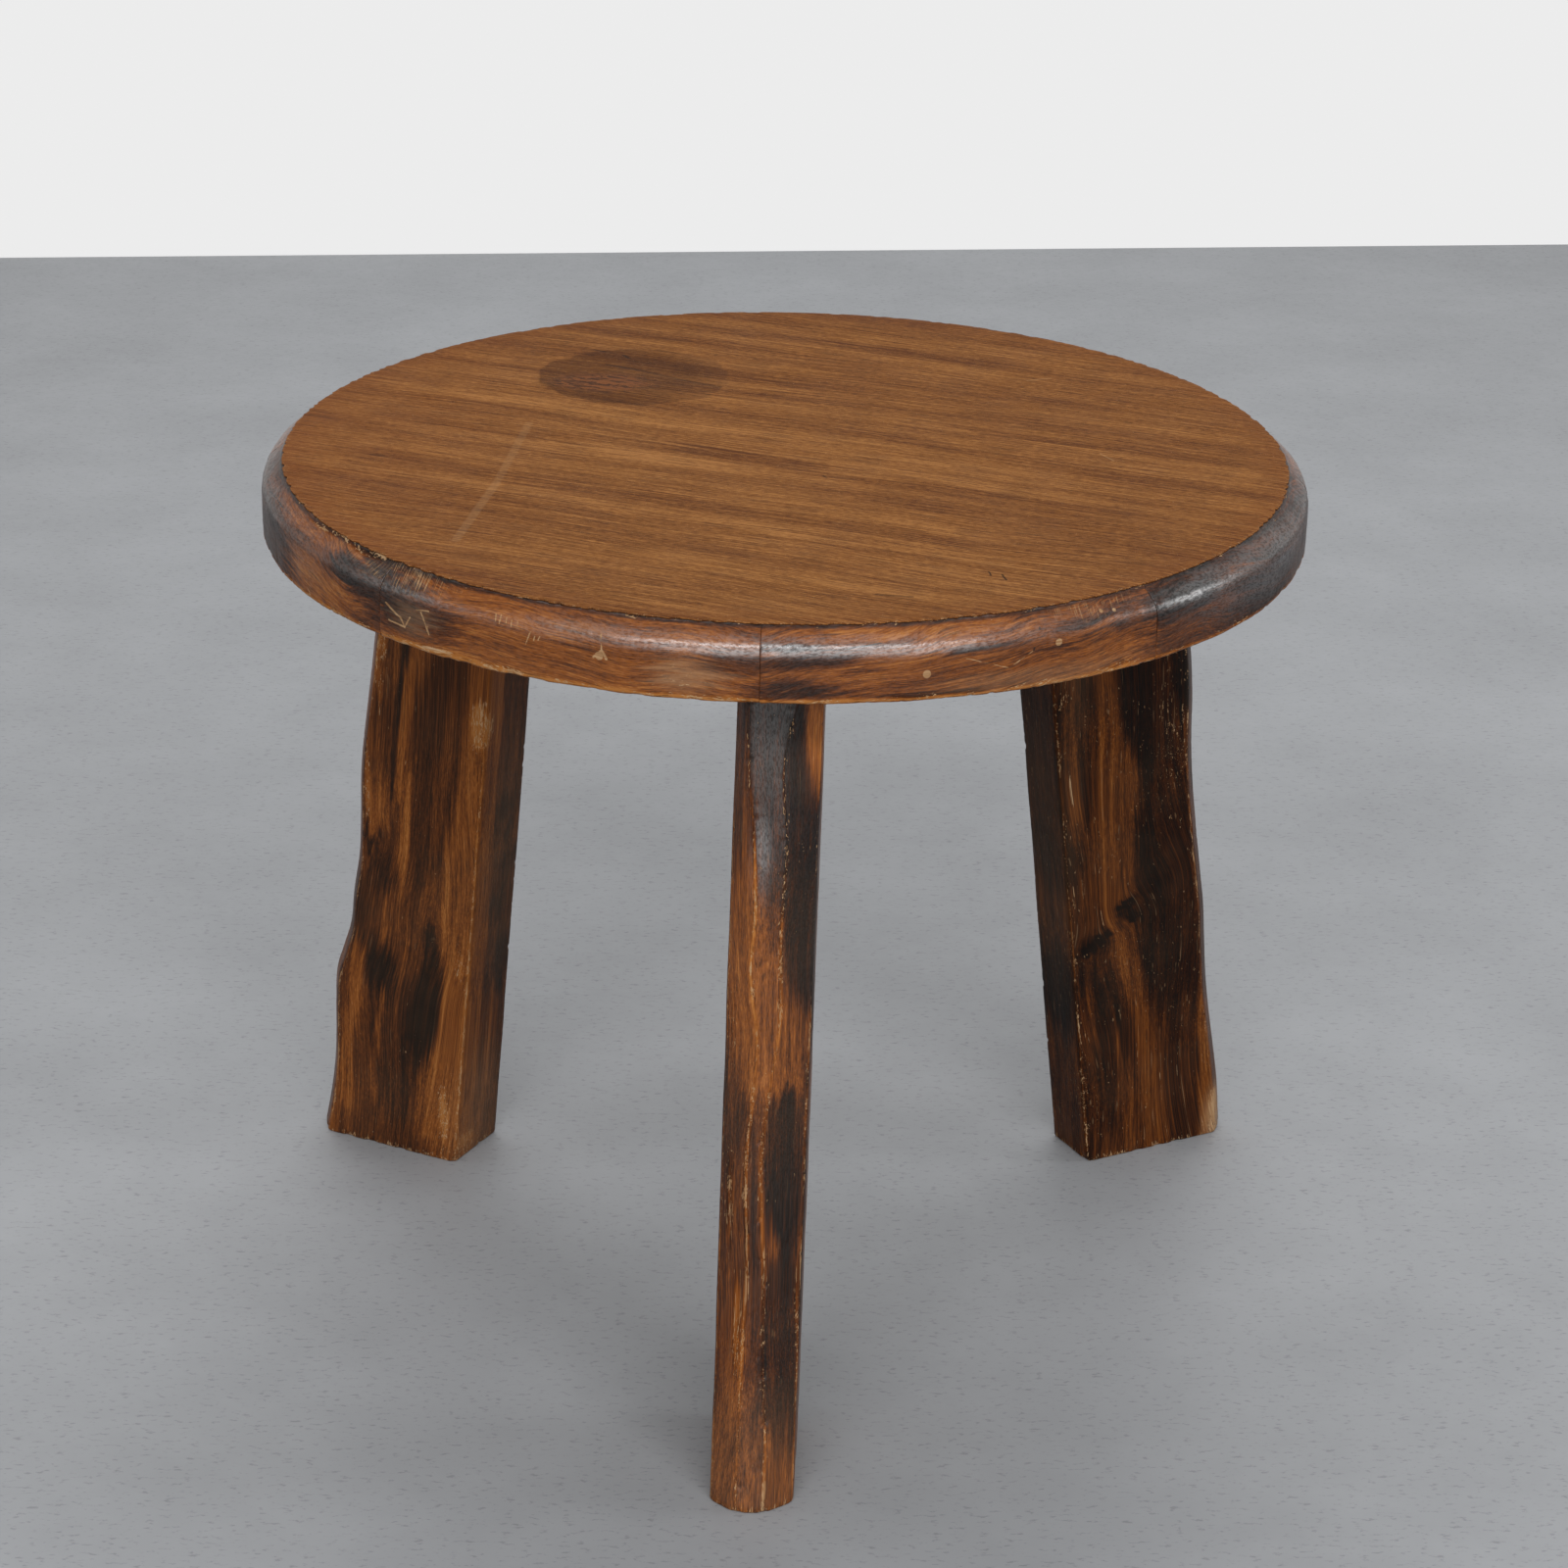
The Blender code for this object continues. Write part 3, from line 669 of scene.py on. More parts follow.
# Relief, chips and nicks: how deep, how large, and how far they reach
FOOT_ARRIS = 0.0016
FOOT_CHIP_DEPTH = 0.0010
FOOT_CHIP_SIZE = 0.012
FOOT_CHIP_HEIGHT = 0.006
LEG_RELIEF = 0.0003
LEG_RELIEF_SIZE = 0.05
LEG_TOOTH = 0.00004
LEG_TOOTH_SIZE = 0.008
NICK_DEPTH = 0.0012
NICK_SIZE = 0.007
NICK_REACH = 0.003
# Tones and wear of the legs
LEG_BASE_TONE = 0.47
LEG_STREAKS = 240.0
LEG_POLISH = 0.16
ARRIS_WEAR = 0.46
ARRIS_WEAR_WIDTH = 0.0013
# Tone added along worn arrises: pale bare wood, and partly a painted highlight on the rounded arris
ARRIS_PALE_AND_HIGHLIGHT = 0.30
FOOT_WEAR = 0.36
# The grain flows round the spots that are darker and narrower than this
KNOT_TONE = 0.13
KNOT_WIDTH = 0.0135


def leg_corners(leg, heights):
    """Give the six corners of a leg's section at each height, as reaches and acrosses.

    The outer edge moves in steadily towards the top, with its wave on it. The nose has a flat between
    two ridges, a nose's depth out from the corners of the broad faces.
    """
    share = heights / LEG_TOP
    base = mix(leg.foot_overhang, -leg.top_setback, share) + TABLE_RADIUS
    inner = base - mix(leg.foot_width, leg.top_width, share)
    outer = base + leg.wave * follow(leg.edge_shares, share)
    middle = leg.offset + leg.lean * share
    half = leg.thickness / 2 + 0 * share
    ridges = [middle + facet * half for facet in leg.facet_shares]
    if leg.facets:
        ridges = [follow(facet, heights) for facet in leg.facets]
    corners = (
        (inner, middle - half), (outer - leg.nose, middle - half), (outer, min(ridges, key=np.mean)),
        (outer, max(ridges, key=np.mean)), (outer - leg.nose, middle + half), (inner, middle + half),
    )
    return np.stack([np.stack(corner, axis=-1) for corner in corners], axis=1)


def leg_surface(leg):
    """Sweep a leg's section from foot to top.

    Every side of the section has evenly spaced points. Neighbouring points are then averaged, which
    rounds the arrises, and the surface is drawn in by a soft relief, by the foot's arris and by chips.
    Returns the points in the leg's own directions, and the wear along the arrises.
    """
    heights = np.concatenate([
        np.linspace(0, FOOT_ARRIS, 5)[:-1], np.linspace(FOOT_ARRIS, LEG_TOP, LEG_RINGS),
    ])
    corners = leg_corners(leg, heights)
    sides, nearness = [], []
    for side, count in enumerate(LEG_SIDE_POINTS):
        start = corners[:, side, None]
        end = corners[:, (side + 1) % len(LEG_SIDE_POINTS), None]
        share = (np.arange(count) / count)[None, :, None]
        sides.append(mix(start, end, share))
        length = np.linalg.norm(end - start, axis=-1)
        nearness.append(np.minimum(share[..., 0], 1 - share[..., 0]) * length)
    outline = np.concatenate(sides, axis=1)
    distance = np.concatenate(nearness, axis=1)
    for _ in range(ARRIS_ROUNDING):
        outline = (np.roll(outline, 1, axis=1) + 2 * outline + np.roll(outline, -1, axis=1)) / 4
    ahead = np.roll(outline, -1, axis=1) - np.roll(outline, 1, axis=1)
    ahead /= np.linalg.norm(ahead, axis=-1, keepdims=True)
    inward = np.stack([-ahead[..., 1], ahead[..., 0]], axis=-1)
    level = np.broadcast_to(heights[:, None], distance.shape)
    points = np.concatenate([outline, level[..., None]], axis=-1)

    depth = LEG_RELIEF * hollows(points * (1, 1, 0.6), LEG_RELIEF_SIZE, leg.seed)
    depth = depth + LEG_TOOTH * hollows(points, LEG_TOOTH_SIZE, leg.seed + 1)
    rise = np.clip(1 - level / FOOT_ARRIS, 0, 1)
    depth = depth + FOOT_ARRIS * (1 - np.sqrt(1 - rise**2)) * 0.8
    chips = peaks(points * (1, 1, 0.2), FOOT_CHIP_SIZE, leg.seed + 2, 0.6)
    depth = depth + FOOT_CHIP_DEPTH * chips * (1 - soft_step(level, 0, FOOT_CHIP_HEIGHT))
    nicks = peaks(points, NICK_SIZE, leg.seed + 3, 1.25, 0.6)
    depth = depth + NICK_DEPTH * nicks * bell(distance, 0, NICK_REACH)
    points[..., :2] += inward * depth[..., None]

    wear = bell(distance, 0, ARRIS_WEAR_WIDTH) * ARRIS_WEAR
    uneven = np.clip(waves(points * (1, 1, 0.3), 0.03, leg.seed + 4), -1, 1)
    wear = wear * mix(0.6, 1.3, 0.5 + 0.5 * uneven)
    wear = np.maximum(wear, FOOT_WEAR * (1 - soft_step(level, 0.0005, 0.006)))
    return points, wear


def leg_grain(leg, points):
    """Give the place of each point in the grain: across it, through it and along it.

    The grain follows the middle of the slab. Every dark eye or knot pushes it aside, by a swell that
    fades away from the eye, so that the streaks flow round it.
    """
    corners = leg_corners(leg, points[:, :1, 2].ravel())
    middle = (corners[:, 0, 0] + corners[:, 1, 0]) / 2
    across = points[..., 0] - middle[:, None]
    for mark in (*leg.marks, *leg.knots):
        if isinstance(mark, Spot) and mark.value < KNOT_TONE and mark.halves[0] < KNOT_WIDTH:
            offset = (points - np.array(mark.place)) / (np.array(mark.halves) * (1.8, 1.6, 1.9))
            swell = np.exp(-(offset**2).sum(axis=-1))
            across = across - 0.40 * (points[..., 0] - mark.place[0]) * swell
    across = across + 0.004 * waves(points * (1, 1, 0.35), 0.09, leg.seed + 6)
    along = points[..., 2] + 0.02 * waves(points, 0.12, leg.seed + 7)
    return np.stack([across + leg.seed, points[..., 1], along], axis=-1)


def make_leg(leg, material):
    """Make one leg with its grain, its tones and its wear."""
    points, wear = leg_surface(leg)
    grain = leg_grain(leg, points)
    tone = LEG_BASE_TONE + 0.06 * waves(grain * (1, 1, 0.10), 0.018, leg.seed + 8)
    tone = apply_marks(tone, feathered(points, grain, leg.seed + 20), leg.marks)
    tone = apply_marks(tone, points + 0.0012 * waves(points, 0.006, leg.seed + 21)[..., None], leg.knots)
    wear = np.maximum(wear, apply_marks(0, points, leg.wear))
    # The worn arrises are paler where the wood beside them is light: partly bare wood, and partly a painted
    # highlight along their rounding
    lit = soft_step(tone, 0.05, 0.35)
    upper = soft_step(points[..., 2], 0.004, 0.012)
    tone = tone + ARRIS_PALE_AND_HIGHLIGHT * soft_step(wear, 0.16, 0.40) * lit * upper
    wear = wear * mix(0.40, 1.0, lit)
    polish = apply_marks(LEG_POLISH, points, leg.polish)
    dull = apply_marks(0, points, leg.dull)
    attributes = {"grain": grain, "tone": tone, "wear": wear, "polish": polish, "dull": dull}
    placed = to_world(points[..., 0], points[..., 1], points[..., 2], leg.azimuth)
    name = "leg_" + leg.name
    add_piece(name + "_wood", placed, tube_faces(*tone.shape), attributes, material, [name])


# Rim: the frame's profile and joints
FIRST_JOINT = math.radians(-46.1)
SHORT_SPAN = math.radians(43.65)
SHORT_SEGMENTS = 2
RIM_SEGMENTS = 8
LONG_SPAN = (math.tau - SHORT_SEGMENTS * SHORT_SPAN) / (RIM_SEGMENTS - SHORT_SEGMENTS)
RIM_REACH = min(CAD_BOX[1].x, -CAD_BOX[0].x, TABLE_RADIUS) - 0.00003
RIM_INNER = CORE_HIGH.x - AXIS_X + 0.0003
MOULDING_WIDTH = 0.0118
MOULDING_DEPTH = 0.017
FIELD_RADIUS = RIM_REACH - MOULDING_WIDTH
# Start, bend and end of the shoulder's curve, in shares of the moulding's width and depth
SHOULDER_SHARES = ((0.30, 0.47), (0.0, 0.68), (0.0, 1.0))
RIM_ARRIS = 0.0022
RIM_RINGS = 262
RIM_RELIEF = 0.0004
RIM_RELIEF_SIZE = 0.045
RIM_TOOTH = 0.00010
RIM_TOOTH_SIZE = 0.007
RIM_CHIP = 0.0007
RIM_CHIP_SIZE = 0.009
# How fast the grain changes through the rim, beside how fast it changes with the height
GRAIN_THROUGH = 0.22
GLUE_LINE = 0.00006
GLUE_GROOVE = 0.0003
GROOVE_DEPTH = 0.00025
FLAT_POINTS = 6
# Depths down the section: where the wear starts and ends, the lower arris, and its pale line
WORN_FROM = (0.0005, 0.002)
WORN_TO = (0.047, 0.052)
LOWER_ARRIS = (0.0435, 0.0028)
ARRIS_LINE = (0.0428, 0.0012)
ARRIS_LINE_TONE = 0.45
# The rim's azimuths run from its first joint, once round, in degrees
RIM_TURN_END = 268
RIM_STREAKS = 360.0
RIM_SHADE = 0.84
RIM_SPECKS = 0.08


def rim_spots(*rows):
    """Make spots on the rim, each from a value, an azimuth in degrees, a depth, and its two half sizes.

    Places on the rim are an azimuth, nothing, and a depth down its section from the field's edge.
    """
    return [
        Spot(value, (azimuth, 0, depth), (half_azimuth, 1, half_depth))
        for value, azimuth, depth, half_azimuth, half_depth in rows
    ]


# Segment by segment: the tone, how strongly the streaks show, and how far the grain tilts
RIM_BASE_TONES = (0.72, 0.58, 0.34, 0.44, 0.50, 0.40, 0.46, 0.42)
RIM_FIGURES = (0.40, 0.75, 0.70, 0.70, 0.70, 0.70, 0.70, 0.60)
RIM_TILTS = (0.04, -0.12, 0.06, 0.05, -0.08, 0.06, -0.05, 0.12)
# Marks round the rim, in its tone, its bare wood, its varnish, its pale haze of dust and painted sheen,
# and its fine pale hairs
RIM_MARKS = rim_spots(
    (0.78, -9.8, 0.032, 3.4, 0.011), (0.72, -60, 0.005, 13, 0.007), (0.8, -58, 0.03, 9, 0.016),
    (0.14, -74, 0.03, 9, 0.02), (0.2, -86, 0.022, 7, 0.02), (0.13, -51, 0.017, 4.8, 0.009),
    (0.16, -47.5, 0.01, 3, 0.014), (0.16, -43.6, 0.022, 4.2, 0.016), (0.32, -38.5, 0.024, 4, 0.01),
    (0.26, -43, 0.001, 9, 0.004), (0.72, -34, 0.006, 7, 0.005), (0.68, -24, 0.031, 10, 0.014),
    (0.64, -14, 0.004, 12, 0.005), (0.56, -16, 0.018, 7, 0.006), (0.42, -5, 0.022, 3.5, 0.01),
    (0.22, 2, 0.021, 5, 0.006), (0.27, 1, 0.037, 5, 0.006), (0.7, 6.8, 0.029, 6, 0.005),
    (0.8, 14, 0.005, 13, 0.007), (0.14, 0.5, 0.013, 3.5, 0.003), (0.24, 20, 0.018, 5, 0.003),
    (0.66, 29, 0.031, 12, 0.011), (0.26, 33, 0.012, 6, 0.0025), (0.28, 29, 0.023, 5, 0.0016),
    (0.3, 36, 0.019, 4.5, 0.0018), (0.22, 14, 0.041, 6, 0.002), (0.03, 46, 0.014, 7.5, 0.01),
    (0.44, 45, 0.035, 6, 0.011), (0.36, 54, 0.021, 4, 0.007), (0.08, 64, 0.026, 9, 0.02),
    (0.16, 80, 0.026, 9, 0.02), (0.12, 105, 0.026, 10, 0.008), (0.7, 122, 0.02, 8, 0.014),
    (0.08, 150, 0.016, 9, 0.01), (0.1, 192, 0.03, 10, 0.01), (0.72, 207, 0.012, 8, 0.01),
    (0.12, 240, 0.022, 9, 0.012),
)
RIM_WEAR = rim_spots(
    (0.12, -9.8, 0.032, 3.6, 0.012), (0.4, -30.5, 0.042, 6, 0.002), (1.15, -39.5, 0.0425, 4, 0.0014),
    (0.45, -55, 0.0005, 12, 0.002), (0.45, 30, 0.0425, 10, 0.0016),
)
RIM_POLISH = rim_spots(
    (1, 0, 0.013, 28, 0.007), (0.8, 60, 0.018, 16, 0.018), (1, 49, 0.012, 5, 0.008),
    (0.36, -62, 0.018, 8, 0.015), (0.1, -34, 0.005, 10, 0.006),
)
# Pale haze on the rim: the spots at -62 and -21.5 degrees are painted sheen, the second where the shoulder's
# highlight starts; the others are wax and dust
RIM_DUST_AND_SHEEN = rim_spots(
    (0.06, -62, 0.026, 7, 0.016), (0.14, -21.5, 0.012, 4, 0.005), (0.46, -9.8, 0.031, 3.6, 0.01),
    (0.3, -41.5, 0.027, 3, 0.01), (0.22, 26, 0.038, 12, 0.006),
)
RIM_SCUFFS = rim_spots(
    (1, -43.8, 0.0075, 6.2, 0.007), (0.55, -50.5, 0.005, 5, 0.004), (0.5, 33, 0.006, 6, 0.005),
)
# Scratches in each segment: two places of azimuth and depth, a width, and 1 where the mark is pale
RIM_SCRATCHES = {
    1: (
        ((-45.1, 0.0239), (-42.9, 0.0291), 0.00085, 1), ((-42.9, 0.0291), (-42.3, 0.0339), 0.00085, 1),
        ((-44.6, 0.0326), (-42.3, 0.0339), 0.00067, 1), ((-42.3, 0.0339), (-41.5, 0.0272), 0.00076, 1),
        ((-40.6, 0.0216), (-38.8, 0.0205), 0.00057, 1), ((-39.9, 0.0224), (-38.85, 0.0337), 0.00085, 1),
        ((-39.2, 0.0221), (-39, 0.0295), 0.00057, 1), ((-26.75, 0.0256), (-26.2, 0.0181), 0.00048, 1),
        ((-25.8, 0.0222), (-25.7, 0.0198), 0.00048, 1), ((-25.3, 0.0215), (-25.1, 0.0195), 0.00048, 1),
        ((-18.6, 0.0131), (-18.4, 0.0219), 0.00057, 1), ((-18.4, 0.0219), (-19.3, 0.0262), 0.00095, 1),
        ((-18.4, 0.0219), (-17.9, 0.0262), 0.00095, 1), ((-30.5, 0.0125), (-30.3, 0.016), 0.00048, 1),
        ((-29.9, 0.0122), (-29.8, 0.0168), 0.00048, 1), ((-29.2, 0.0128), (-29.1, 0.0158), 0.00048, 1),
        ((-28.6, 0.012), (-28.5, 0.0172), 0.00048, 1), ((-27.9, 0.0125), (-27.8, 0.0162), 0.00048, 1),
        ((-27.3, 0.0128), (-27.2, 0.0158), 0.00048, 1),
    ),
    2: (
        ((26.5, 0.0111), (25.55, 0.0231), 0.00057, 0), ((25.55, 0.0231), (23.4, 0.0292), 0.00042, 1),
        ((18.2, 0.0228), (22.8, 0.0304), 0.0003, 1), ((-2.3, 0.015), (5.7, 0.0143), 0.00057, 0),
        ((5.7, 0.0143), (9.65, 0.0112), 0.00057, 0),
    ),
    8: (
        ((-60.3, 0.0389), (-59.8, 0.0415), 0.00057, 1), ((-77.9, 0.011), (-70.9, 0.0088), 0.00067, 0),
    ),
}
# Pale dots in each segment: a place and a radius
RIM_DOTS = {
    1: (((-18.7, 0.025), 0.0022),),
    2: (
        ((14.2, 0.0296), 0.0021), ((28.45, 0.0206), 0.0019), ((34.2, 0.0083), 0.0011),
        ((35.8, 0.0094), 0.0011),
    ),
    8: (((-83, 0.03), 0.0015),),
}


def rim_profile():
    """Give the rim's section: reaches, heights, and the depth down the section from the field's edge.

    It runs from the inner top edge over the flat under the leaves, down the slope, round the shoulder
    on a quadratic curve, down the face, round the lower arris, and back underneath.
    """
    start, bend, end = (np.array(shares) for shares in SHOULDER_SHARES)
    turn = np.linspace(0, 1, 18)[:, None]
    curve = (1 - turn) ** 2 * start + 2 * turn * (1 - turn) * bend + turn**2 * end
    shoulder = (RIM_REACH, LEAF_HIGH.z) - curve * (MOULDING_WIDTH, MOULDING_DEPTH)
    quarter = np.linspace(0, math.pi / 2, 8)[1:]
    arris = np.stack([
        RIM_REACH - RIM_ARRIS * (1 - np.cos(quarter)), UNDERSIDE + RIM_ARRIS * (1 - np.sin(quarter)),
    ], axis=-1)

    def run(first, last, count):
        """Space points evenly from one place to just before the next."""
        return mix(np.array(first), np.array(last), np.linspace(0, 1, count, endpoint=False)[:, None])

    top_inner = (RIM_INNER, CORE_TOP)
    top_outer = (FIELD_RADIUS, CORE_TOP)
    low_inner = (RIM_INNER, UNDERSIDE)
    face_end = (RIM_REACH, UNDERSIDE + RIM_ARRIS)
    parts = [
        run(top_inner, top_outer, FLAT_POINTS), run(top_outer, shoulder[0], 9), shoulder[:-1],
        run(shoulder[-1], face_end, 24), [face_end], arris, run(arris[-1], low_inner, 8)[1:],
        run(low_inner, top_inner, 5),
    ]
    section = np.concatenate(parts)
    steps = np.linalg.norm(np.diff(section, axis=0), axis=1)
    run_length = np.concatenate([[0], np.cumsum(steps)])
    return section, run_length - run_length[FLAT_POINTS]


def rim_place(azimuth_degrees, depth):
    """Turn a place on the rim into a place in the frame."""
    section, depths = rim_profile()
    reach = np.interp(depth, depths, section[:, 0])
    height = np.interp(depth, depths, section[:, 1])
    return tuple(float(value) for value in to_world(reach, 0.0, height, math.radians(azimuth_degrees)))


def rim_surface(start, span, seed):
    """Turn the rim's section through one segment, and draw it in by wear.

    The section moves in by a soft relief and by chips along the lower arris, and the last ring at each
    end moves in a little further, which leaves a fine groove along the glue line.
    """
    section, depths = rim_profile()
    margin = GLUE_LINE / RIM_REACH
    groove = np.array([0, GLUE_GROOVE / RIM_REACH])
    turns = np.concatenate([
        margin + groove, np.linspace(margin + 0.004, span - margin - 0.004, RIM_RINGS),
        span - margin - groove[::-1],
    ]) + start
    azimuth = turns[:, None]
    depth = np.broadcast_to(depths, (len(turns), len(depths)))
    reach = np.broadcast_to(section[:, 0], depth.shape).copy()
    height = np.broadcast_to(section[:, 1], depth.shape).copy()
    ahead = np.roll(section, -1, axis=0) - np.roll(section, 1, axis=0)
    ahead /= np.linalg.norm(ahead, axis=1)[:, None]
    flat = to_world(reach, 0.0, height, azimuth)
    seen = soft_step(depth, *WORN_FROM) * (1 - soft_step(depth, *WORN_TO))
    drawn_in = RIM_RELIEF * hollows(flat, RIM_RELIEF_SIZE, seed)
    drawn_in = drawn_in + RIM_TOOTH * hollows(flat, RIM_TOOTH_SIZE, seed + 1)
    drawn_in = drawn_in + RIM_TOOTH * 0.4 * hollows(flat, RIM_TOOTH_SIZE / 2, seed + 10)
    low = bell(depth, *LOWER_ARRIS)
    chips = peaks(flat, RIM_CHIP_SIZE, seed + 2, 0.35, 1.2)
    drawn_in = drawn_in + RIM_CHIP * low * (0.15 + chips * 0.7)
    drawn_in = drawn_in * seen
    drawn_in[[0, -1]] += GROOVE_DEPTH * seen[[0, -1]]
    reach += drawn_in * ahead[:, 1]
    height -= drawn_in * ahead[:, 0]
    height = np.maximum(height, UNDERSIDE)
    wear = low * (0.27 + 0.12 * np.clip(waves(flat, 0.03, seed + 3), -1, 1))
    wear = np.maximum(wear, 0.14 * (1 - soft_step(depth, 0.0005, 0.0022)))
    return to_world(reach, 0.0, height, azimuth), np.degrees(azimuth) + 0 * depth, depth, wear


def make_rim_segment(number, start, span, material):
    """Make one segment of the rim, with its grain along its chord."""
    seed = 20 + number * 7
    points, degrees, depth, wear = rim_surface(start, span, seed)
    middle = start + span / 2
    offset = points - np.array([AXIS_X, AXIS_Y, 0])
    along = offset[..., 0] * math.cos(middle) + offset[..., 1] * math.sin(middle)
    through = offset[..., 0] * math.sin(middle) - offset[..., 1] * math.cos(middle)
    level = offset[..., 2] + RIM_TILTS[number - 1] * along
    level = level + 0.0014 * waves(points, 0.07, seed + 4)
    grain = np.stack([level + number, GRAIN_THROUGH * through, along], axis=-1)
    degrees = degrees + 0.9 * waves(grain * (1, 1, 0.02), 0.0028, seed + 8)
    streaked = depth + 0.0009 * waves(grain * (1, 1, 0.08), 0.006, seed + 9)
    places = np.stack([degrees, 0 * depth, streaked], axis=-1)
    tone = RIM_BASE_TONES[number - 1] + 0.07 * waves(grain * (1, 1, 0.06), 0.010, seed + 5)
    # Past the far side the azimuths go on beyond the half turn, and the marks count them the same way
    places[..., 0] = np.where(places[..., 0] > RIM_TURN_END, places[..., 0] - 360, places[..., 0])
    tone = apply_marks(tone, places, RIM_MARKS)
    wear = np.maximum(wear, apply_marks(0, places, RIM_WEAR))
    scuff = apply_marks(0, places, RIM_SCUFFS)
    # Darker right at the field's edge: a dark joint line, and partly painted shade in the corner under the
    # veneer's edge
    tone = tone * mix(0.35, 1.0, soft_step(depth, 0.0005, 0.003))
    tone = tone + ARRIS_LINE_TONE * bell(depth, *ARRIS_LINE)
    shoulder = soft_step(depth, 0.003, 0.008) * (1 - soft_step(depth, 0.016, 0.024))
    polish = apply_marks(0.20 + 0.22 * shoulder, places, RIM_POLISH)
    dull = apply_marks(0, places, RIM_DUST_AND_SHEEN)
    attributes = {
        "grain": grain, "tone": tone, "wear": wear, "scuff": scuff, "polish": polish, "dull": dull,
    }
    name = f"rim_segment_{number}"
    add_piece(name + "_wood", points, tube_faces(*tone.shape), attributes, material, [name])


# Face veneer
GRAIN_ANGLE = math.radians(-21.5)
# The seams between the leaves, in shares of the field's radius
SEAM_SHARES = (-0.469, -0.076, 0.285, 0.545)
SEAM_GAP = 0.00004
LEAF_CELL = 0.0022
FIELD_LIMIT = 0.99995
LEAF_CHIP = 0.0012
LEAF_CHIP_SIZES = (0.010, 0.003)
LEAF_RELIEF = 0.00012
LEAF_RELIEF_SIZE = 0.09
LEAF_EDGE_WEAR = 0.0003
LEAF_TONES = (0.52, 0.48, 0.52, 0.46, 0.50)
LEAF_TILTS = (0.012, -0.02, 0.008, -0.015, 0.02)
# Streaks in the leaves: a tone, two places about the axis, and a half width
LEAF_STREAKS = (
    (0.16, (-0.062, 0.009), (0.008, -0.026), 0.01), (0.3, (-0.142, -0.057), (0.017, -0.124), 0.01),
    (0.32, (-0.178, -0.146), (-0.027, -0.203), 0.009), (0.2, (0.026, 0.218), (0.133, 0.178), 0.011),
    (0.24, (0.088, 0.133), (0.203, 0.089), 0.008), (0.2, (0.065, -0.146), (0.085, -0.153), 0.009),
    (0.86, (-0.036, -0.128), (0.133, -0.199), 0.005), (0.22, (0.11, 0.044), (0.262, -0.015), 0.006),
    (0.36, (-0.235, -0.02), (-0.15, -0.06), 0.012), (0.34, (0.04, 0.15), (0.12, 0.118), 0.014),
    (0.66, (-0.13, -0.16), (0.05, -0.235), 0.014), (0.66, (0, 0.25), (0.15, 0.195), 0.01),
    (0.4, (-0.24, 0.06), (-0.12, 0.012), 0.014), (0.64, (-0.02, 0.02), (0.2, -0.066), 0.016),
)
# Streaks are drawn towards their tone, and the whole leaf is darker at the field's edge and behind
STREAK_WIDTH_SHARE = 0.75
FIELD_EDGE_TONE = 0.36
FAR_SIDE_SHADE = 0.16


def near_line(points, start, end, half):
    """Fade from 1 on a line between two places to 0 at its width."""
    start = np.array(start)
    line = np.array(end) - start
    share = np.clip((points - start) @ line / (line @ line), 0, 1)
    distance = np.linalg.norm(points - start - share[..., None] * line, axis=-1)
    return 1 - soft_step(distance / half, 0.3, 1.6)


